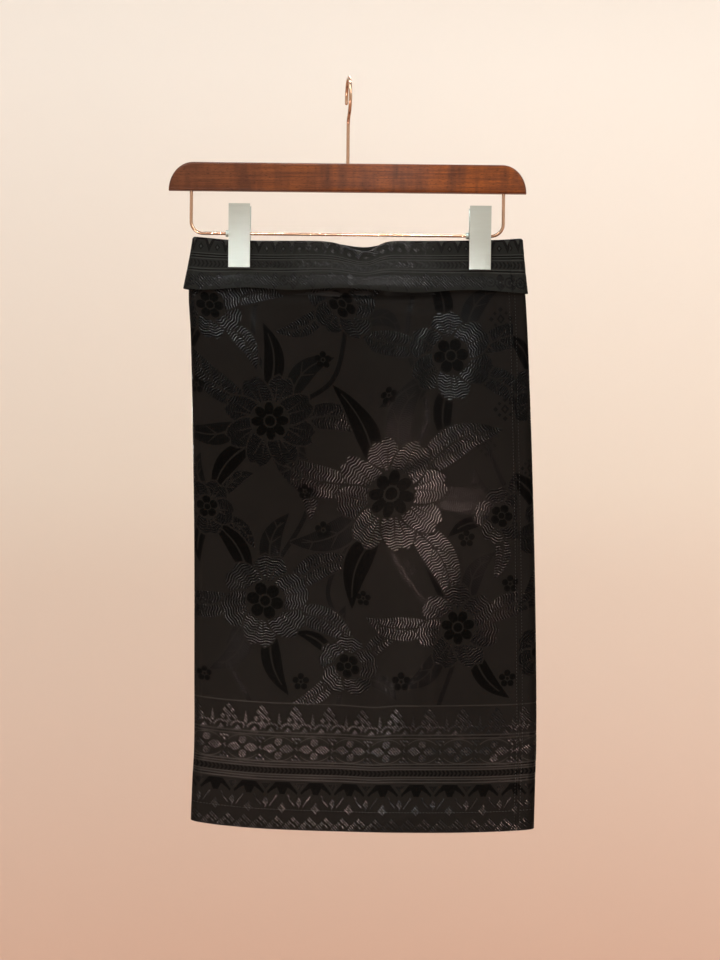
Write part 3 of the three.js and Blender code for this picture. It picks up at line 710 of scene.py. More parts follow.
def band_rows(pattern, width):
    """The waistband's rows: scrolls at its lower edge, then lines and a rope, then pointed figures."""
    for x in repeats(width, 19.0):
        for side in (-1, 1):
            figure(pattern, leaf_outline((x + side * 5.4, 10.4), (x + side * 10.6, 14.2), 4.4))
            figure(pattern, leaf_outline((x + side * 5.0, 6.4), (x + side * 10.4, 2.6), 4.0))
        for radius, finish in ((5.4, TWILL), (3.7, GROUND), (2.2, TWILL)):
            figure(pattern, circle(np.array([x, 8.4]), radius, 12), finish)
        ringed(pattern, x + 9.5, 8.4, 2.6)
        for y in (2.2, 14.6):
            figure(pattern, lozenge((x + 9.5, y), 2.4, 2.0))
    lines(pattern, width, (16.8, 19.4, 28.8, 31.2, 33.6), 1.0, PALE)
    lines(pattern, width, (18.0, 30.0, 32.4), 1.2, FINE)
    chevron_row(pattern, width, 21.4, 27.6, 4.1, TWILL)
    lines(pattern, width, (46.6,), 3.0, RIBBED)
    for x in repeats(width, 17.0):
        figure(pattern, [(x - 7, 51.0), (x + 7, 51.0), (x + 2.8, 42.0), (x, 35.6), (x - 2.8, 42.0)])
        pattern.add([(x - 3.4, 49.4), (x + 3.4, 49.4), (x, 42.8)], PALE)
        framed_lozenge(pattern, x + 8.5, 40.4, 2.8, 3.6)


GRID = 4.0  # between the mesh's own points on a panel, besides the pattern's
COARSE = 9.0  # on the inside


def grid_points(width, height, step, edges=True):
    us = np.linspace(0, width, max(round(width / step), 2) + 1)
    ys = np.linspace(0, height, max(round(height / step), 2) + 1)
    if not edges:
        us, ys = us[1:-1], ys[1:-1]
    return [Vector((u, y)) for u in us for y in ys]


def flat_mesh(width, height, pattern):
    """Triangles of a flat panel that follow the pattern's outlines, and the topmost shape on each."""
    points = [Vector(p) for p in ((0, 0), (width, 0), (width, height), (0, height))]
    faces = [[0, 1, 2, 3]]
    for outline, _, _ in pattern.shapes:
        start = len(points)
        points += [Vector(p) for p in outline]
        faces.append(list(range(start, len(points))))
    points += grid_points(width, height, GRID)
    flat, _, triangles, _, _, sources = delaunay_2d_cdt(points, [], faces, 0, 1e-4, True)
    flat = np.array([tuple(p) for p in flat])
    sides = side_masks(flat, width, height)
    kept = [
        (t, max(source)) for t, source in zip(triangles, sources)
        if 0 in source and not any(side[t].all() for side, _ in sides)
    ]
    return flat, np.array([t for t, _ in kept]), np.array([top for _, top in kept])


def side_masks(flat, width, height):
    """Which points lie on each side of the panel, anticlockwise from below, and how far along it."""
    near = 1e-3
    u, y = flat[:, 0], flat[:, 1]
    return (
        (np.abs(y) < near, u), (np.abs(u - width) < near, y),
        (np.abs(y - height) < near, -u), (np.abs(u) < near, -y),
    )


def rim_order(flat, width, height, used):
    """The panel's edge points, once round from its lower left corner."""
    order = []
    for on_side, along in side_masks(flat, width, height):
        order += sorted(np.flatnonzero(on_side & used), key=lambda i: along[i])[:-1]
    return order


def inner_mesh(flat, rim, width, height):
    """A coarser mesh with the same edge points. Returns its points, its triangles and the rim in it."""
    points = [Vector(flat[i]) for i in rim]
    points += grid_points(width, height, COARSE, False)
    flat_in, _, triangles, sources, _, _ = delaunay_2d_cdt(
        points, [], [list(range(len(rim)))], 0, 1e-4, True
    )
    flat_in = np.array([tuple(p) for p in flat_in])
    where = {k: i for i, source in enumerate(sources) for k in source}
    sides = side_masks(flat_in, width, height)
    kept = [t for t in triangles if not any(side[t].all() for side, _ in sides)]
    return flat_in, np.array(kept), [where[k] for k in range(len(rim))]


def place_normals(place, u, y, inside):
    step = 0.25
    right = place(u + step, y, inside) - place(u - step, y, inside)
    up = place(u, y + step, inside) - place(u, y - step, inside)
    return unit(np.cross(right, up))


def cloth_panel(name, ends, height, place, pattern, materials):
    """A thin closed panel: a patterned outside, a plain inside and a rim."""
    width = panel_width(ends)
    flat, triangles, tops = flat_mesh(width, height, pattern)
    used = np.zeros(len(flat), bool)
    used[triangles.ravel()] = True
    rim = rim_order(flat, width, height, used)
    flat_in, triangles_in, rim_in = inner_mesh(flat, rim, width, height)
    outside = place(flat[:, 0], flat[:, 1], False)
    inside = place(flat_in[:, 0], flat_in[:, 1], True)
    first_in = len(flat)
    walls = [tuple(t) for t in triangles]
    walls += [tuple(t[::-1] + first_in) for t in triangles_in]
    edge = list(zip(rim, rim_in))
    for (a, a_in), (b, b_in) in zip(edge, edge[1:] + edge[:1]):
        walls.append((b, a, a_in + first_in, b_in + first_in))
    mesh = bpy.data.meshes.new(name)
    mesh.from_pydata(np.concatenate([outside, inside]) * MM, [], walls)
    for material in materials:
        mesh.materials.append(material)
    finishes = np.array([GROUND] + [finish for _, finish, _ in pattern.shapes])
    places = np.concatenate([
        finishes[tops], np.full(len(triangles_in), PLAIN), np.full(len(edge), GROUND)
    ])
    mesh.polygons.foreach_set("material_index", places.astype(np.int32))
    add_maps(mesh, np.concatenate([flat, flat_in]), tops, pattern)
    set_normals(mesh, place, flat, flat_in, len(triangles) + len(triangles_in))
    return add_object(name, mesh)


def corner_points(mesh):
    """Which point each face corner lies on."""
    corners = np.empty(len(mesh.loops), np.int32)
    mesh.loops.foreach_get("vertex_index", corners)
    return corners


def add_maps(mesh, flat, tops, pattern):
    """The flat coordinates and the ribs' coordinates, in metres, as two UV maps."""
    corners = corner_points(mesh)
    ribs = flat[corners]
    corner_tops = np.repeat(tops, 3)
    for k, (_, _, coordinates) in enumerate(pattern.shapes, start=1):
        mine = np.flatnonzero(corner_tops == k)
        if coordinates is not None and len(mine):
            ribs[mine] = coordinates(flat[corners[mine]])
    for name, values in (("cloth", flat[corners]), ("ribs", ribs)):
        layer = mesh.uv_layers.new(name=name)
        layer.data.foreach_set("uv", (values * MM).astype(np.float32).ravel())


def set_normals(mesh, place, flat, flat_in, first_rim):
    """The cloth's own normals on its triangles, and flat ones from the rim's first face on."""
    normals = np.concatenate([
        place_normals(place, flat[:, 0], flat[:, 1], False),
        -place_normals(place, flat_in[:, 0], flat_in[:, 1], True),
    ])[corner_points(mesh)]
    rim_normals = np.array([p.normal for p in list(mesh.polygons)[first_rim:]])
    normals[3 * first_rim:] = np.repeat(rim_normals, 4, axis=0)
    mesh.polygons.foreach_set("use_smooth", np.ones(len(mesh.polygons), bool))
    mesh.normals_split_custom_set(normals.tolist())


def add_object(name, mesh):
    piece = bpy.data.objects.new(name, mesh)
    bpy.context.scene.collection.objects.link(piece)
    return piece


def belongs(piece, slot, *nodes):
    """Rides on the one body and stands for CAD nodes, which it hides. slot is not used."""
    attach(piece, "root")
    if nodes:
        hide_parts(*nodes)
    return piece


# Materials

def nodes_of(name):
    material = bpy.data.materials.new(name)
    material.use_nodes = True
    tree = material.node_tree
    return material, tree, tree.nodes["Principled BSDF"]


def add_node(tree, kind, inputs=None, **settings):
    """A node with its settings, and its inputs by name or number: a value or another node's output."""
    node = tree.nodes.new(kind)
    for key, value in settings.items():
        setattr(node, key, value)
    for key, value in (inputs or {}).items():
        if isinstance(value, bpy.types.NodeSocket):
            tree.links.new(value, node.inputs[key])
        else:
            node.inputs[key].default_value = value
    return node


def math_node(tree, operation, *values):
    return add_node(tree, "ShaderNodeMath", dict(enumerate(values)), operation=operation).outputs[0]


def mixed_colour(tree, share, first, second):
    node = add_node(tree, "ShaderNodeMix", {"Factor": share}, data_type="RGBA")
    for socket, value in (("A", first), ("B", second)):
        target = next(s for s in node.inputs if s.name == socket and s.type == "RGBA")
        if isinstance(value, bpy.types.NodeSocket):
            tree.links.new(value, target)
        else:
            target.default_value = (*value, 1)
    return next(s for s in node.outputs if s.type == "RGBA")


def ranged(tree, value, low, high, to_low=0.0, to_high=1.0):
    """A value carried from one range to another and kept inside it."""
    inputs = dict(enumerate((value, low, high, to_low, to_high)))
    return add_node(tree, "ShaderNodeMapRange", inputs).outputs[0]


def noise(tree, place, scale, detail):
    inputs = {"Vector": place, "Scale": scale, "Detail": detail}
    return add_node(tree, "ShaderNodeTexNoise", inputs).outputs[0]


def stretched_noise(tree, place, stretch, detail):
    mapped = add_node(tree, "ShaderNodeMapping", {"Vector": place, "Scale": stretch}).outputs[0]
    return noise(tree, mapped, 1.0, detail)


def on_object(tree):
    return add_node(tree, "ShaderNodeTexCoord").outputs["Object"]


def on_panel(tree, name):
    return add_node(tree, "ShaderNodeUVMap", uv_map=name).outputs["UV"]


def bumped(tree, height, distance, strength, under=None):
    """A normal raised by a height, over another one where there is one."""
    inputs = {"Height": height, "Distance": distance, "Strength": strength}
    if under is not None:
        inputs["Normal"] = under
    return add_node(tree, "ShaderNodeBump", inputs).outputs[0]


def dress(tree, shader, colour, normal, values):
    """Gives a shader its colour, its normal and its uniform values."""
    tree.links.new(colour, shader.inputs["Base Color"])
    tree.links.new(normal, shader.inputs["Normal"])
    for name, value in values.items():
        shader.inputs[name].default_value = value


def wave_along(tree, along, spacing):
    """A wave from -1 to 1 with the given spacing."""
    return math_node(tree, "SINE", math_node(tree, "MULTIPLY", along, 2 * math.pi / spacing))


def rib_wave(tree, spacing, wobble, wave_length):
    """Fine wavy ribs across a shape, from 0 to 1."""
    axes = add_node(tree, "ShaderNodeSeparateXYZ", {0: on_panel(tree, "ribs")}).outputs
    swing = math_node(tree, "MULTIPLY", wave_along(tree, axes[0], wave_length), wobble)
    wave = wave_along(tree, math_node(tree, "ADD", axes[1], swing), spacing)
    return math_node(tree, "MULTIPLY_ADD", wave, 0.5, 0.5)


THREADS = (0.00042, 0.000546)  # the spacing of the weave's threads across and up, in metres


def thread_wave(tree):
    """The weave's threads, from 0 to 1."""
    axes = add_node(tree, "ShaderNodeSeparateXYZ", {0: on_panel(tree, "cloth")}).outputs
    waves = [wave_along(tree, axes[k], spacing) for k, spacing in enumerate(THREADS)]
    return math_node(tree, "MULTIPLY_ADD", math_node(tree, "MULTIPLY", *waves), 0.5, 0.5)


def cloth_material(name, low, high, rough, specular, rib=None, groove_shade=None):
    """Satin with slow changes of tone and a fine thread bump. rib is (spacing, wobble, wave length, height)
    of wavy raised threads, which are glossier than the grooves between them; the grooves take a darker
    colour, which is painted shade."""
    material, tree, shader = nodes_of(name)
    tone = mixed_colour(tree, noise(tree, on_panel(tree, "cloth"), 26.0, 4.0), low, high)
    normal = bumped(tree, thread_wave(tree), 0.00004, 0.5)
    if rib:
        *wave_sizes, height = rib
        wave = rib_wave(tree, *wave_sizes)
        ridge = ranged(tree, wave, 0.50, 0.88)
        # Painted shade: the grooves between the ribs get a darker colour than the ridges
        tone = mixed_colour(tree, ridge, groove_shade, tone)
        tree.links.new(ranged(tree, ridge, 0.0, 1.0, 0.85, rough), shader.inputs["Roughness"])
        normal = bumped(tree, wave, height, 1.0, normal)
    dress(tree, shader, tone, normal, {"Roughness": rough, "Specular IOR Level": specular})
    return material


def cloth_materials(name, tint, motif_tint):
    """One panel family's finishes, in the order of their places. The tints multiply their colours."""

    # groove is the darker colour of the painted shade between ribs
    def finish(kind, low, high, rough, specular, colours=tint, rib=None, groove_shade=0.0):
        tones = [tuple(light * c for c in colours) for light in (low, high, groove_shade)]
        return cloth_material(f"{name}_{kind}", tones[0], tones[1], rough, specular, rib, tones[2])

    return [
        finish("ground", 0.0058, 0.0080, 0.55, 0.009),
        finish("ribbed", 0.0009, 0.0016, 0.20, 0.062, motif_tint, (0.0027, 0.0007, 0.0105, 0.00005), 0.0003),
        finish("fine", 0.0015, 0.0023, 0.26, 0.040, motif_tint, (0.0022, 0.0004, 0.0090, 0.00004), 0.0006),
        finish("dark", 0.0012, 0.0020, 0.50, 0.006, motif_tint),
        finish("twill", 0.0016, 0.0027, 0.15, 0.100, motif_tint, (0.0021, 0.0, 0.0100, 0.00009), 0.0005),
        finish("pale", 0.0120, 0.0165, 0.40, 0.030),
        finish("inside", 0.0050, 0.0070, 0.60, 0.080),
    ]


def wood_material():
    """Reddish wood under a thin varnish, warmer towards its right end, with blotches, grain and pores."""
    material, tree, shader = nodes_of("wood")
    place = on_object(tree)

    def patches(stretch, detail, low, high):
        return ranged(tree, stretched_noise(tree, place, stretch, detail), low, high)

    along = add_node(tree, "ShaderNodeSeparateXYZ", {0: place}).outputs[0]
    tone = mixed_colour(tree, ranged(tree, along, -0.18, 0.18), (0.122, 0.043, 0.017), (0.252, 0.068, 0.010))
    grain = patches((22.0, 700.0, 800.0), 6.0, 0.35, 0.65)
    for share, weight, dark in (
        (patches((85.0, 60.0, 16.0), 3.0, 0.40, 0.66), 0.8, (0.062, 0.022, 0.011)),
        (grain, 0.7, (0.055, 0.017, 0.008)),
        (patches((260.0, 1400.0, 1400.0), 2.0, 0.56, 0.66), 0.6, (0.03, 0.008, 0.003)),
    ):
        tone = mixed_colour(tree, math_node(tree, "MULTIPLY", share, weight), tone, dark)
    dress(tree, shader, tone, bumped(tree, grain, 0.00006, 0.5), {
        "Roughness": 0.40, "Specular IOR Level": 0.14, "Coat Weight": 0.05, "Coat Roughness": 0.2,
    })
    return material


def metal_material(name, colour, roughness, brushed):
    """Metal with fine drawn marks. brushed is how closely the marks lie along each axis."""
    material, tree, shader = nodes_of(name)
    marks = stretched_noise(tree, on_object(tree), brushed, 4.0)
    tone = mixed_colour(tree, marks, tuple(0.86 * c for c in colour), colour)
    rough = ranged(tree, marks, 0.3, 0.7, roughness * 0.8, roughness * 1.25)
    tree.links.new(rough, shader.inputs["Roughness"])
    dress(tree, shader, tone, bumped(tree, marks, 0.00002, 0.5), {"Metallic": 1.0})
    return material


def grainy_material(name, scale, detail, low, high, depth, rough):
    """A dull material with a fine grain of two tones."""
    material, tree, shader = nodes_of(name)
    grain = noise(tree, on_object(tree), scale, detail)
    tone = mixed_colour(tree, grain, low, high)
    dress(tree, shader, tone, bumped(tree, grain, depth, 0.6), {"Roughness": rough})
    return material


# Hanger

def hung(points):
    """Points of the hanger, in millimetres, after its tilt about the rod."""
    x, y, z = np.moveaxis(np.asarray(points, float), -1, 0)
    c, s = math.cos(TILT), math.sin(TILT)
    return np.stack([x * c + z * s, y, z * c - x * s], axis=-1)


def mesh_object(name, points, faces, material):
    mesh = bpy.data.meshes.new(name)
    mesh.from_pydata(np.asarray(points) * MM, [], faces)
    mesh.materials.append(material)
    mesh.polygons.foreach_set("use_smooth", [True] * len(mesh.polygons))
    return add_object(name, mesh)


def skin(rings, sides, first=0, closed=False):
    """Faces from each ring of points to the next, and from the last to the first where closed."""
    faces = []
    for ring in range(rings if closed else rings - 1):
        a, b = first + ring * sides, first + (ring + 1) % rings * sides
        faces += [(a + k, a + (k + 1) % sides, b + (k + 1) % sides, b + k) for k in range(sides)]
    return faces


def capped(rings, sides, first=0):
    """The same, with a face over each end."""
    last = first + (rings - 1) * sides
    ends = [tuple(range(first, first + sides))[::-1], tuple(range(last, last + sides))]
    return skin(rings, sides, first) + ends


def rings_round(centres, sizes, ways, others, sides):
    """Rings of points round centres, each in the plane of its two directions."""
    angles = 2 * math.pi * np.arange(sides) / sides
    c, s = np.cos(angles)[:, None], np.sin(angles)[:, None]
    out = c * ways[:, None] + s * others[:, None]
    return (centres[:, None] + sizes[:, None, None] * out).reshape(-1, 3)


def tube(path, radius, side, sides=16, rounded=4):
    """A round wire's points and faces, with domed ends. side is square to the path's plane."""
    path, side = np.asarray(path, float), np.asarray(side, float)
    ahead = unit(np.gradient(path, axis=0))
    turn = np.linspace(0, math.pi / 2, rounded + 1)[1:-1]
    start, end = (path[i] + way * ahead[i] * radius * np.sin(turn)[:, None] for i, way in ((0, -1), (-1, 1)))
    domes = radius * np.cos(turn)
    centres = np.concatenate([start[::-1], path, end])
    sizes = np.concatenate([domes[::-1], np.full(len(path), radius), domes])
    forward = np.concatenate([np.tile(ahead[0], (len(turn), 1)), ahead, np.tile(ahead[-1], (len(turn), 1))])
    points = rings_round(centres, sizes, np.broadcast_to(side, forward.shape), np.cross(forward, side), sides)
    faces = skin(len(centres), sides)
    tip, last = len(points), len(points) - sides
    for k in range(sides):
        n = (k + 1) % sides
        faces += [(tip, n, k), (tip + 1, last + k, last + n)]
    return np.concatenate([points, [path[0] - ahead[0] * radius, path[-1] + ahead[-1] * radius]]), faces


def wire_piece(name, path, radius, side, material):
    points, faces = tube(path, radius, side)
    return mesh_object(name, hung(points), faces, material)


def hook_path():
    """Up the shank, round the bend to the front, and round the crown to behind the rod."""
    middle = HOOK["wire"] / 2 - HOOK["radius"]
    bend, radius = HOOK["bend"], HOOK["radius"]
    rise = math.sqrt(radius**2 + 2 * radius * bend)
    angle = math.atan2(rise, bend)
    low = -(BAR["top"] + HOOK["in_bar"])
    path = [(0, 0, low + (middle - rise - low) * t) for t in np.linspace(0, 1, 8, endpoint=False)]
    path += [
        (0, bend * (math.cos(a) - 1), middle - rise + bend * math.sin(a)) for a in np.linspace(0, angle, 10)
    ]
    sweep = np.linspace(math.pi / 2 + angle, -HOOK["tip"], 60)[1:]
    path += [(0, -radius * math.sin(a), middle + radius * math.cos(a)) for a in sweep]
    c, s = math.cos(HOOK["turn"]), math.sin(HOOK["turn"])
    return [(x * c - y * s, x * s + y * c, z) for x, y, z in path], (c, s, 0)


def rail_path():
    top = -(BAR["top"] + BAR["height"] - RAIL["in_bar"])
    half, corner, drop = RAIL["half_span"], RAIL["corner"], RAIL["drop"]
    bend = [
        (half - corner * (1 - math.cos(a)), 0, corner * (1 - math.sin(a)) - drop)
        for a in np.linspace(0, math.pi / 2, 10)
    ]
    down = [(half, 0, top + (corner - drop - top) * t) for t in np.linspace(0, 1, 6, endpoint=False)]
    across = [(half - corner - (half - corner) * t, 0, -drop) for t in np.linspace(0, 1, 8)[1:]]
    right = down + bend + across
    left = [(-x, y, z) for x, y, z in right[:-1]]
    return left + right[::-1]


def bar_outline(inset):
    """The bar's outline in x and z: straight below, with rounded upper ends."""
    bottom = -(BAR["top"] + BAR["height"]) + inset
    half, run, height = BAR["length"] / 2 - inset, BAR["end_run"] - inset * 0.5, BAR["height"] - 2 * inset
    arc = [
        (half - run * (1 - math.cos(a)), bottom + height * math.sin(a))
        for a in np.linspace(0, math.pi / 2, 22)
    ]
    return arc + [(-x, z) for x, z in arc[::-1]]


def bar_piece(material):
    """A wooden bar with rounded long edges and holes for the wires."""
    bevel, half = BAR["bevel"], BAR["thick"] / 2
    layers = [
        (bevel * (1 - math.cos(a)) - half, bevel * (1 - math.sin(a))) for a in np.linspace(0, math.pi / 2, 6)
    ]
    layers += [(-y, inset) for y, inset in layers[::-1]]
    points = [(x, y, z) for y, inset in layers for x, z in bar_outline(inset)]
    bar = mesh_object("bar", hung(points), capped(len(layers), len(points) // len(layers)), material)
    fix_normals(bar)
    bottom = -(BAR["top"] + BAR["height"])
    holes = [(0.0, -BAR["top"], -1, HOOK)]
    holes += [(side * RAIL["half_span"], bottom, 1, RAIL) for side in (-1, 1)]
    for x, mouth, inward, wire in holes:
        ends = mouth - inward * PAST_MOUTH, mouth + inward * (wire["in_bar"] + PAST_WIRE)
        path = hung([(x, 0, z) for z in ends])
        cutter = mesh_object("cutter", *tube(path, wire["wire"] / 2 + GAP, (0, 1, 0), 20, 1), material)
        fix_normals(cutter)
        cut = bar.modifiers.new("cut", "BOOLEAN")
        cut.object = cutter
        cut.operation = "DIFFERENCE"
        cut.solver = "EXACT"
        apply_modifiers(bar)
        bpy.data.objects.remove(cutter)
    shade_by_angle(bar, 40)
    return bar


def fix_normals(piece):
    work = bmesh.new()
    work.from_mesh(piece.data)
    bmesh.ops.recalc_face_normals(work, faces=work.faces)
    work.to_mesh(piece.data)
    work.free()


def apply_modifiers(piece):
    shown = piece.evaluated_get(bpy.context.evaluated_depsgraph_get())
    mesh = bpy.data.meshes.new_from_object(shown)
    piece.modifiers.clear()
    old = piece.data
    piece.data = mesh
    mesh.name = old.name
    bpy.data.meshes.remove(old)


def shade_by_angle(piece, degrees):
    """Smooth faces with a crease where they meet at more than an angle."""
    work = bmesh.new()
    work.from_mesh(piece.data)
    for face in work.faces:
        face.smooth = True
    for edge in work.edges:
        edge.smooth = len(edge.link_faces) == 2 and edge.calc_face_angle(0.0) < math.radians(degrees)
    work.to_mesh(piece.data)
    work.free()


def rounded_from(node, name, material, bevel):
    """A copy of a CAD solid with its flat faces joined and its edges rounded."""
    source = bpy.data.objects[node]
    mesh = source.data.copy()
    mesh.name = name
    mesh.materials.clear()
    mesh.materials.append(material)
    piece = add_object(name, mesh)
    piece.matrix_world = source.matrix_world.copy()
    work = bmesh.new()
    work.from_mesh(mesh)
    bmesh.ops.remove_doubles(work, verts=work.verts, dist=1e-6)
    bmesh.ops.dissolve_limit(work, angle_limit=math.radians(1.5), verts=work.verts, edges=work.edges)
    sharp = [e for e in work.edges if len(e.link_faces) == 2 and e.calc_face_angle(0.0) > math.radians(30)]
    bmesh.ops.bevel(work, geom=sharp, offset=bevel * MM, segments=3, affect="EDGES", clamp_overlap=True)
    work.to_mesh(mesh)
    work.free()
    shade_by_angle(piece, 40)
    return piece


def spring_piece(side, x, material):
    """A coil of wire round the rail."""
    turns, radius = SPRING["turns"], SPRING["radius"]
    t = np.linspace(0, 1, turns * 16 + 1)
    angle = 2 * math.pi * turns * t
    outward = np.stack([np.zeros_like(t), np.sin(angle), np.cos(angle)], axis=-1)
    along = x + SPRING["length"] * (t - 0.5)
    path = np.stack([along, np.zeros_like(t), np.full_like(t, -RAIL["drop"])], axis=-1) + radius * outward
    across = np.cross(unit(np.gradient(path, axis=0)), outward)
    points = rings_round(path, np.full(len(path), SPRING["wire"]), outward, across, SPRING["sides"])
    spring = mesh_object(f"spring_{side}", hung(points), capped(len(path), SPRING["sides"]), material)
    fix_normals(spring)
    return spring


def collar_piece(side, x, material):
    """A ring round the rail with softened edges."""
    half, hole, radius, soft = (COLLAR[key] for key in ("half", "hole", "radius", "soft"))
    profile = [
        (hole, -half), (radius - soft, -half), (radius, -half + soft), (radius, half - soft),
        (radius - soft, half), (hole, half),
    ]
    points = [
        (x - COLLAR["away"] + along, r * math.cos(a), r * math.sin(a) - RAIL["drop"])
        for a in 2 * math.pi * np.arange(COLLAR["sides"]) / COLLAR["sides"] for r, along in profile
    ]
    faces = skin(COLLAR["sides"], len(profile), closed=True)
    collar = mesh_object(f"collar_{side}", hung(points), faces, material)
    fix_normals(collar)
    shade_by_angle(collar, 50)
    return collar


# Sewing

STITCH_SHAPE = ((0.0, 0.25), (0.2, 0.85), (0.5, 1.0), (0.8, 0.85), (1.0, 0.25))  # along, and its girth
STITCH_SIDES = 6


def stitch_row(name, place, line, length, space, radius, material):
    """Short raised stitches along a flat line on a panel's outside."""
    line = curve_through(line, 1.0)
    so_far = lengths_along(line)
    starts = np.arange(space / 2, so_far[-1] - length, length + space)
    shares, girths = np.array(STITCH_SHAPE).T
    along = (starts[:, None] + length * shares).ravel()
    u, y = np.interp(along, so_far, line[:, 0]), np.interp(along, so_far, line[:, 1])
    centres = place(u, y, False)
    normals = place_normals(place, u, y, False)
    ahead = unit(place(u + np.gradient(line[:, 0])[0], y + np.gradient(line[:, 1])[0], False) - centres)
    sizes = radius * np.tile(girths, len(starts))
    points = rings_round(centres, sizes, np.cross(ahead, normals), normals, STITCH_SIDES)
    faces = []
    for first in range(0, len(points), len(STITCH_SHAPE) * STITCH_SIDES):
        faces += capped(len(STITCH_SHAPE), STITCH_SIDES, first)
    stitches = mesh_object(name, points, faces, material)
    fix_normals(stitches)
    return stitches


# The cloth

# Rows of stitches: length, space between and half thickness
HEM_STITCHES = (2.0, 1.1, 0.2)
SEAM_STITCHES = (1.8, 1.4, 0.16)
HEM_ROW_ENDS = 2.0  # from a panel's side edges
SEAM_ROW_ENDS = (6.0, 4.0)  # above the hem's edge and below the waist
FRONT_SEAM_INSET = 2.4
BACK_SEAM_INSET = 3.0

body_materials = cloth_materials("cloth", (1.0, 0.90, 0.80), (1.0, 0.93, 0.86))
# Painted light: the band's finishes are the body cloth's, made lighter and cooler as if lit from above
band_painted_light_materials = cloth_materials("band", (1.55, 1.66, 1.54), (1.3, 1.35, 1.25))
thread = grainy_material(
    "thread", 2400.0, 2.0, (0.0016, 0.0015, 0.0013), (0.0046, 0.0042, 0.0037), 0.00006, 0.5
)

for side, ends, plants in (
    ("front", FRONT_ENDS, (FRONT_STEMS, FRONT_FLOWERS, FRONT_FLORETS, FRONT_STARS)),
    ("back", BACK_ENDS, (BACK_STEMS, BACK_FLOWERS, BACK_FLORETS, BACK_STARS)),
):
    width = panel_width(ends)
    on_body, on_band = body_place(ends), band_place(ends)
    pattern, band_pattern = Pattern(), Pattern()
    field(pattern, *plants)
    border(pattern, width)
    band_rows(band_pattern, width)
    body = cloth_panel(f"cloth_{side}", ends, BODY_HEIGHT, on_body, pattern, body_materials)
    belongs(body, "cloth", f"body_{side}")
    seam = BACK_SEAM_INSET if side == "back" else width - FRONT_SEAM_INSET
    hem_line = [(HEM_ROW_ENDS, HEM_HEIGHT), (width - HEM_ROW_ENDS, HEM_HEIGHT)]
    seam_line = [(seam, SEAM_ROW_ENDS[0]), (seam, BODY_HEIGHT - SEAM_ROW_ENDS[1])]
    sewing = [
        belongs(stitch_row(f"{kind}_stitches_{side}", on_body, line, *sizes, thread), "cloth")
        for kind, line, sizes in (("hem", hem_line, HEM_STITCHES), ("seam", seam_line, SEAM_STITCHES))
    ]
    band = cloth_panel(f"band_{side}", ends, BAND_HEIGHT, on_band, band_pattern, band_painted_light_materials)
    belongs(band, "band_cloth", f"waistband_{side}")

# The hanger
wood = wood_material()
copper = metal_material("copper_wire", (0.56, 0.375, 0.27), 0.14, (900.0, 900.0, 60.0))
steel = metal_material("satin_steel", (0.46, 0.53, 0.515), 0.38, (60.0, 600.0, 900.0))
rubber = grainy_material("rubber", 1800.0, 3.0, (0.006, 0.006, 0.006), (0.014, 0.013, 0.013), 0.00005, 0.72)

belongs(bar_piece(wood), "wood", "hanger_bar")
path, side_way = hook_path()
belongs(wire_piece("hook", path, HOOK["wire"] / 2, side_way, copper), "wire", "hanger_hook")
belongs(wire_piece("rail", rail_path(), RAIL["wire"] / 2, (0, -1, 0), copper), "wire", "clip_rail")
for side, x in CLIPS:
    for face in ("front", "back"):
        for node, name, material, bevel, slot in (
            (f"clip_{side}_{face}", f"jaw_{side}_{face}", steel, 0.35, "clip_metal"),
            (f"clip_{side}_pad_{face}", f"pad_{side}_{face}", rubber, 0.25, "pad_rubber"),
        ):
            belongs(rounded_from(node, name, material, bevel), slot, node)
    belongs(spring_piece(side, x, steel), "clip_metal", f"clip_{side}_spring")
    belongs(collar_piece(side, x, steel), "clip_metal", f"clip_{side}_collar")


# Studio, in metres

FLOOR = -1.75
COVE = 1.1
COVE_RADIUS = 3.2
WALL_TOP = 2.4
SIDES_ROUND = 96


def backdrop():
    """A round studio: floor, cove and wall, open above, pale above and darkened towards the floor with
    painted shade.
    """
    profile = [(0.0, FLOOR), (COVE_RADIUS - COVE, FLOOR)]
    profile += [
        (COVE_RADIUS - COVE + COVE * math.sin(a), FLOOR + COVE * (1 - math.cos(a)))
        for a in np.linspace(0, math.pi / 2, 16)[1:]
    ]
    profile.append((COVE_RADIUS, WALL_TOP))
    count = len(profile)
    points, faces = [], []
    for k in range(SIDES_ROUND):
        a = 2 * math.pi * k / SIDES_ROUND
        points += [(r * math.cos(a), r * math.sin(a), z) for r, z in profile]
        here, there = k * count, (k + 1) % SIDES_ROUND * count
        faces += [(here + i, there + i, there + i + 1, here + i + 1) for i in range(count - 1)]
    mesh = bpy.data.meshes.new("backdrop")
    mesh.from_pydata(points, [], faces)
    mesh.polygons.foreach_set("use_smooth", [True] * len(mesh.polygons))
    material, tree, shader = nodes_of("backdrop")
    height = add_node(tree, "ShaderNodeSeparateXYZ", {0: on_object(tree)}).outputs[2]
    # Painted shade: the colour darkens from the wall down to the floor
    tone = mixed_colour(tree, ranged(tree, height, -1.6, -0.4), (0.60, 0.385, 0.29), (0.79, 0.735, 0.655))
    tone = mixed_colour(tree, ranged(tree, height, -0.4, 0.6), tone, (0.875, 0.86, 0.81))
    tree.links.new(tone, shader.inputs["Base Color"])
    shader.inputs["Roughness"].default_value = 0.9
    mesh.materials.append(material)
    add_object("backdrop", mesh)


def add_lamp(name, kind, place, way, power, colour):
    """A light at a place, which shines along a direction. Returns its data and its object."""
    light = bpy.data.lights.new(name, kind)
    light.energy = power
    light.color = colour
    lamp = add_object(name, light)
    lamp.location = place
    lamp.rotation_euler = way.to_track_quat("-Z", "Y").to_euler()
    return light, lamp


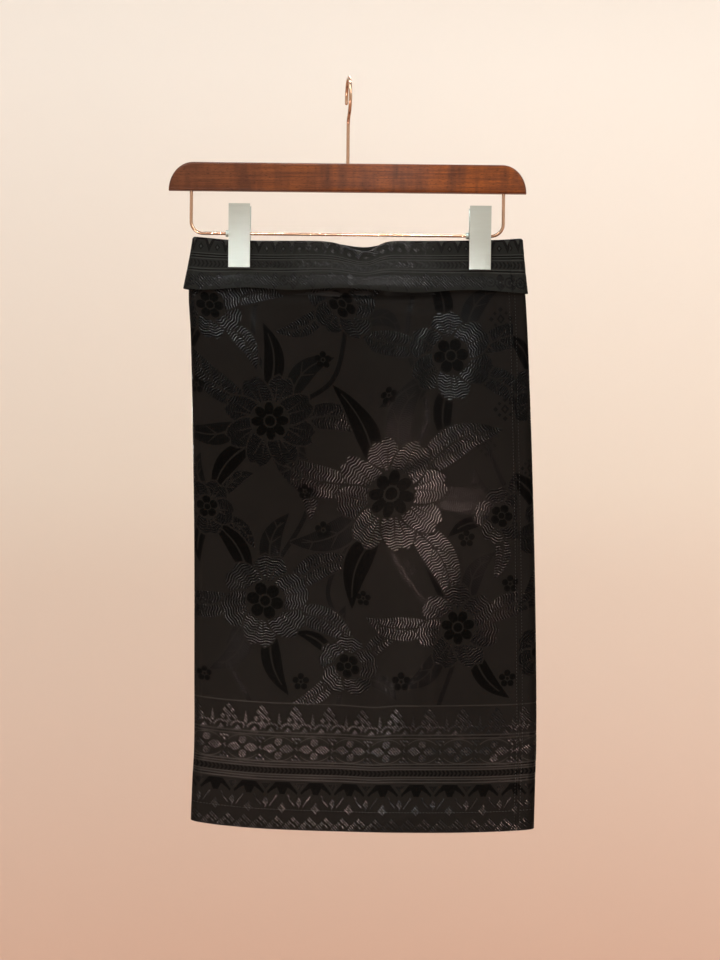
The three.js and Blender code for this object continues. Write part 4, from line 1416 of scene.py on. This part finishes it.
# Soft lights: name, place, target, size, power, colour and spread in degrees
MIDDLE = Vector((0.0, 0.0, -0.4))
HEM_MIDDLE = Vector((0.0, 0.0, -0.76))
SOFT_LIGHTS = (
    ("key", (-1.1, -1.5, 2.1), MIDDLE, (1.6, 1.2), 59.0, (1.0, 0.99, 0.97), 180.0),
    ("fill", (1.5, -1.9, 1.2), MIDDLE, (1.2, 1.2), 31.0, (1.0, 0.97, 0.94), 180.0),
    ("back", (0.6, 2.2, 1.9), MIDDLE, (1.6, 1.2), 38.0, (1.0, 0.99, 0.97), 180.0),
    ("low", (-0.9, -1.6, -1.2), HEM_MIDDLE, (1.0, 0.8), 4.0, (1.0, 0.84, 0.76), 50.0),
)
SKY = (0.98, 0.99, 1.0, 1)
SKY_STRENGTH = 0.45

# Small soft spots that only gloss answers: name, the flat point each falls on, width in degrees, power
# and colour
GLINT_DISTANCE = 2.2
GLINT_SIZE = 0.07
WARM = (1.0, 0.70, 0.60)
PALE_WARM = (1.0, 0.86, 0.79)
COOL = (0.97, 1.0, 0.99)
FRONT_GLINTS = (
    ("middle", (218, 334), 3.6, 1150.0, WARM),
    ("middle_right", (250, 326), 3.0, 700.0, WARM),
    ("streak", (269, 486), 2.6, 620.0, COOL),
    ("streak_low", (262, 448), 2.4, 460.0, COOL),
    ("waist", (227, 510), 2.2, 260.0, COOL),
    ("shoulder", (44, 506), 2.8, 520.0, COOL),
    ("lower", (244, 226), 3.4, 640.0, WARM),
    ("pad", (205, 140), 3.0, 420.0, PALE_WARM),
    ("corner", (86, 196), 3.0, 460.0, PALE_WARM),
    ("border_left", (50, 78), 4.4, 380.0, WARM),
    ("border", (130, 62), 4.6, 380.0, WARM),
    ("border_right", (318, 62), 4.4, 340.0, WARM),
    ("hem", (225, 18), 3.0, 330.0, COOL),
    ("edge", (4, 420), 2.6, 140.0, WARM),
)
BAND_GLINTS = (
    ("scrolls", (150, 9), 3.4, 150.0, COOL),
    ("scrolls_right", (232, 9), 4.4, 130.0, COOL),
    ("crest", (202, 48.2), 3.0, 1200.0, PALE_WARM),
    ("crest_face", (206, 43), 2.4, 380.0, PALE_WARM),
    ("crest_left", (112, 48.2), 2.4, 1000.0, PALE_WARM),
)
BACK_GLINTS = (
    ("rear", (150, 330), 9.0, 260.0, WARM),
    ("rear_shoulder", (290, 440), 6.0, 260.0, COOL),
    ("rear_border", (180, 62), 8.0, 420.0, WARM),
)

CAMERA_PLACE = Vector((0.0113, -2.2, -0.4005))
FIELD_OF_VIEW = math.radians(24.61)
SENSOR = 36.0


def glint_lights(place, side, glints):
    """Spots placed so that someone level with the cloth's middle sees each mirrored in its flat point."""
    viewer = Vector((CAMERA_PLACE.x, side * abs(CAMERA_PLACE.y), CAMERA_PLACE.z))
    for name, (u, y), width, power, colour in glints:
        at = np.array([u]), np.array([y])
        target = Vector(place(*at, False)[0]) * MM
        normal = Vector(place_normals(place, *at, False)[0])
        seen = (viewer - target).normalized()
        way = 2 * seen.dot(normal) * normal - seen
        light, lamp = add_lamp(f"glint_{name}", "SPOT", target + way * GLINT_DISTANCE, -way, power, colour)
        light.spot_size = math.radians(width)
        light.spot_blend = 1.0
        light.shadow_soft_size = GLINT_SIZE
        lamp.visible_diffuse = False


def studio():
    backdrop()
    for name, place, target, size, power, colour, spread in SOFT_LIGHTS:
        light, _ = add_lamp(name, "AREA", place, target - Vector(place), power, colour)
        light.shape = "RECTANGLE"
        light.size, light.size_y = size
        light.spread = math.radians(spread)
    glint_lights(body_place(FRONT_ENDS), -1, FRONT_GLINTS)
    glint_lights(band_place(FRONT_ENDS), -1, BAND_GLINTS)
    glint_lights(body_place(BACK_ENDS), 1, BACK_GLINTS)
    world = bpy.data.worlds.new("studio")
    world.use_nodes = True
    background = world.node_tree.nodes["Background"]
    background.inputs["Color"].default_value = SKY
    background.inputs["Strength"].default_value = SKY_STRENGTH
    bpy.context.scene.world = world


def camera():
    """Level, in front of the cloth, as the photograph was taken."""
    data = bpy.data.cameras.new("camera")
    data.sensor_width = SENSOR
    data.lens = SENSOR / 2 / math.tan(FIELD_OF_VIEW / 2)
    seen = add_object("camera", data)
    seen.location = CAMERA_PLACE
    seen.rotation_euler = (math.pi / 2, 0, 0)
    bpy.context.scene.camera = seen


studio()
camera()
bpy.context.scene.view_settings.view_transform = "Standard"
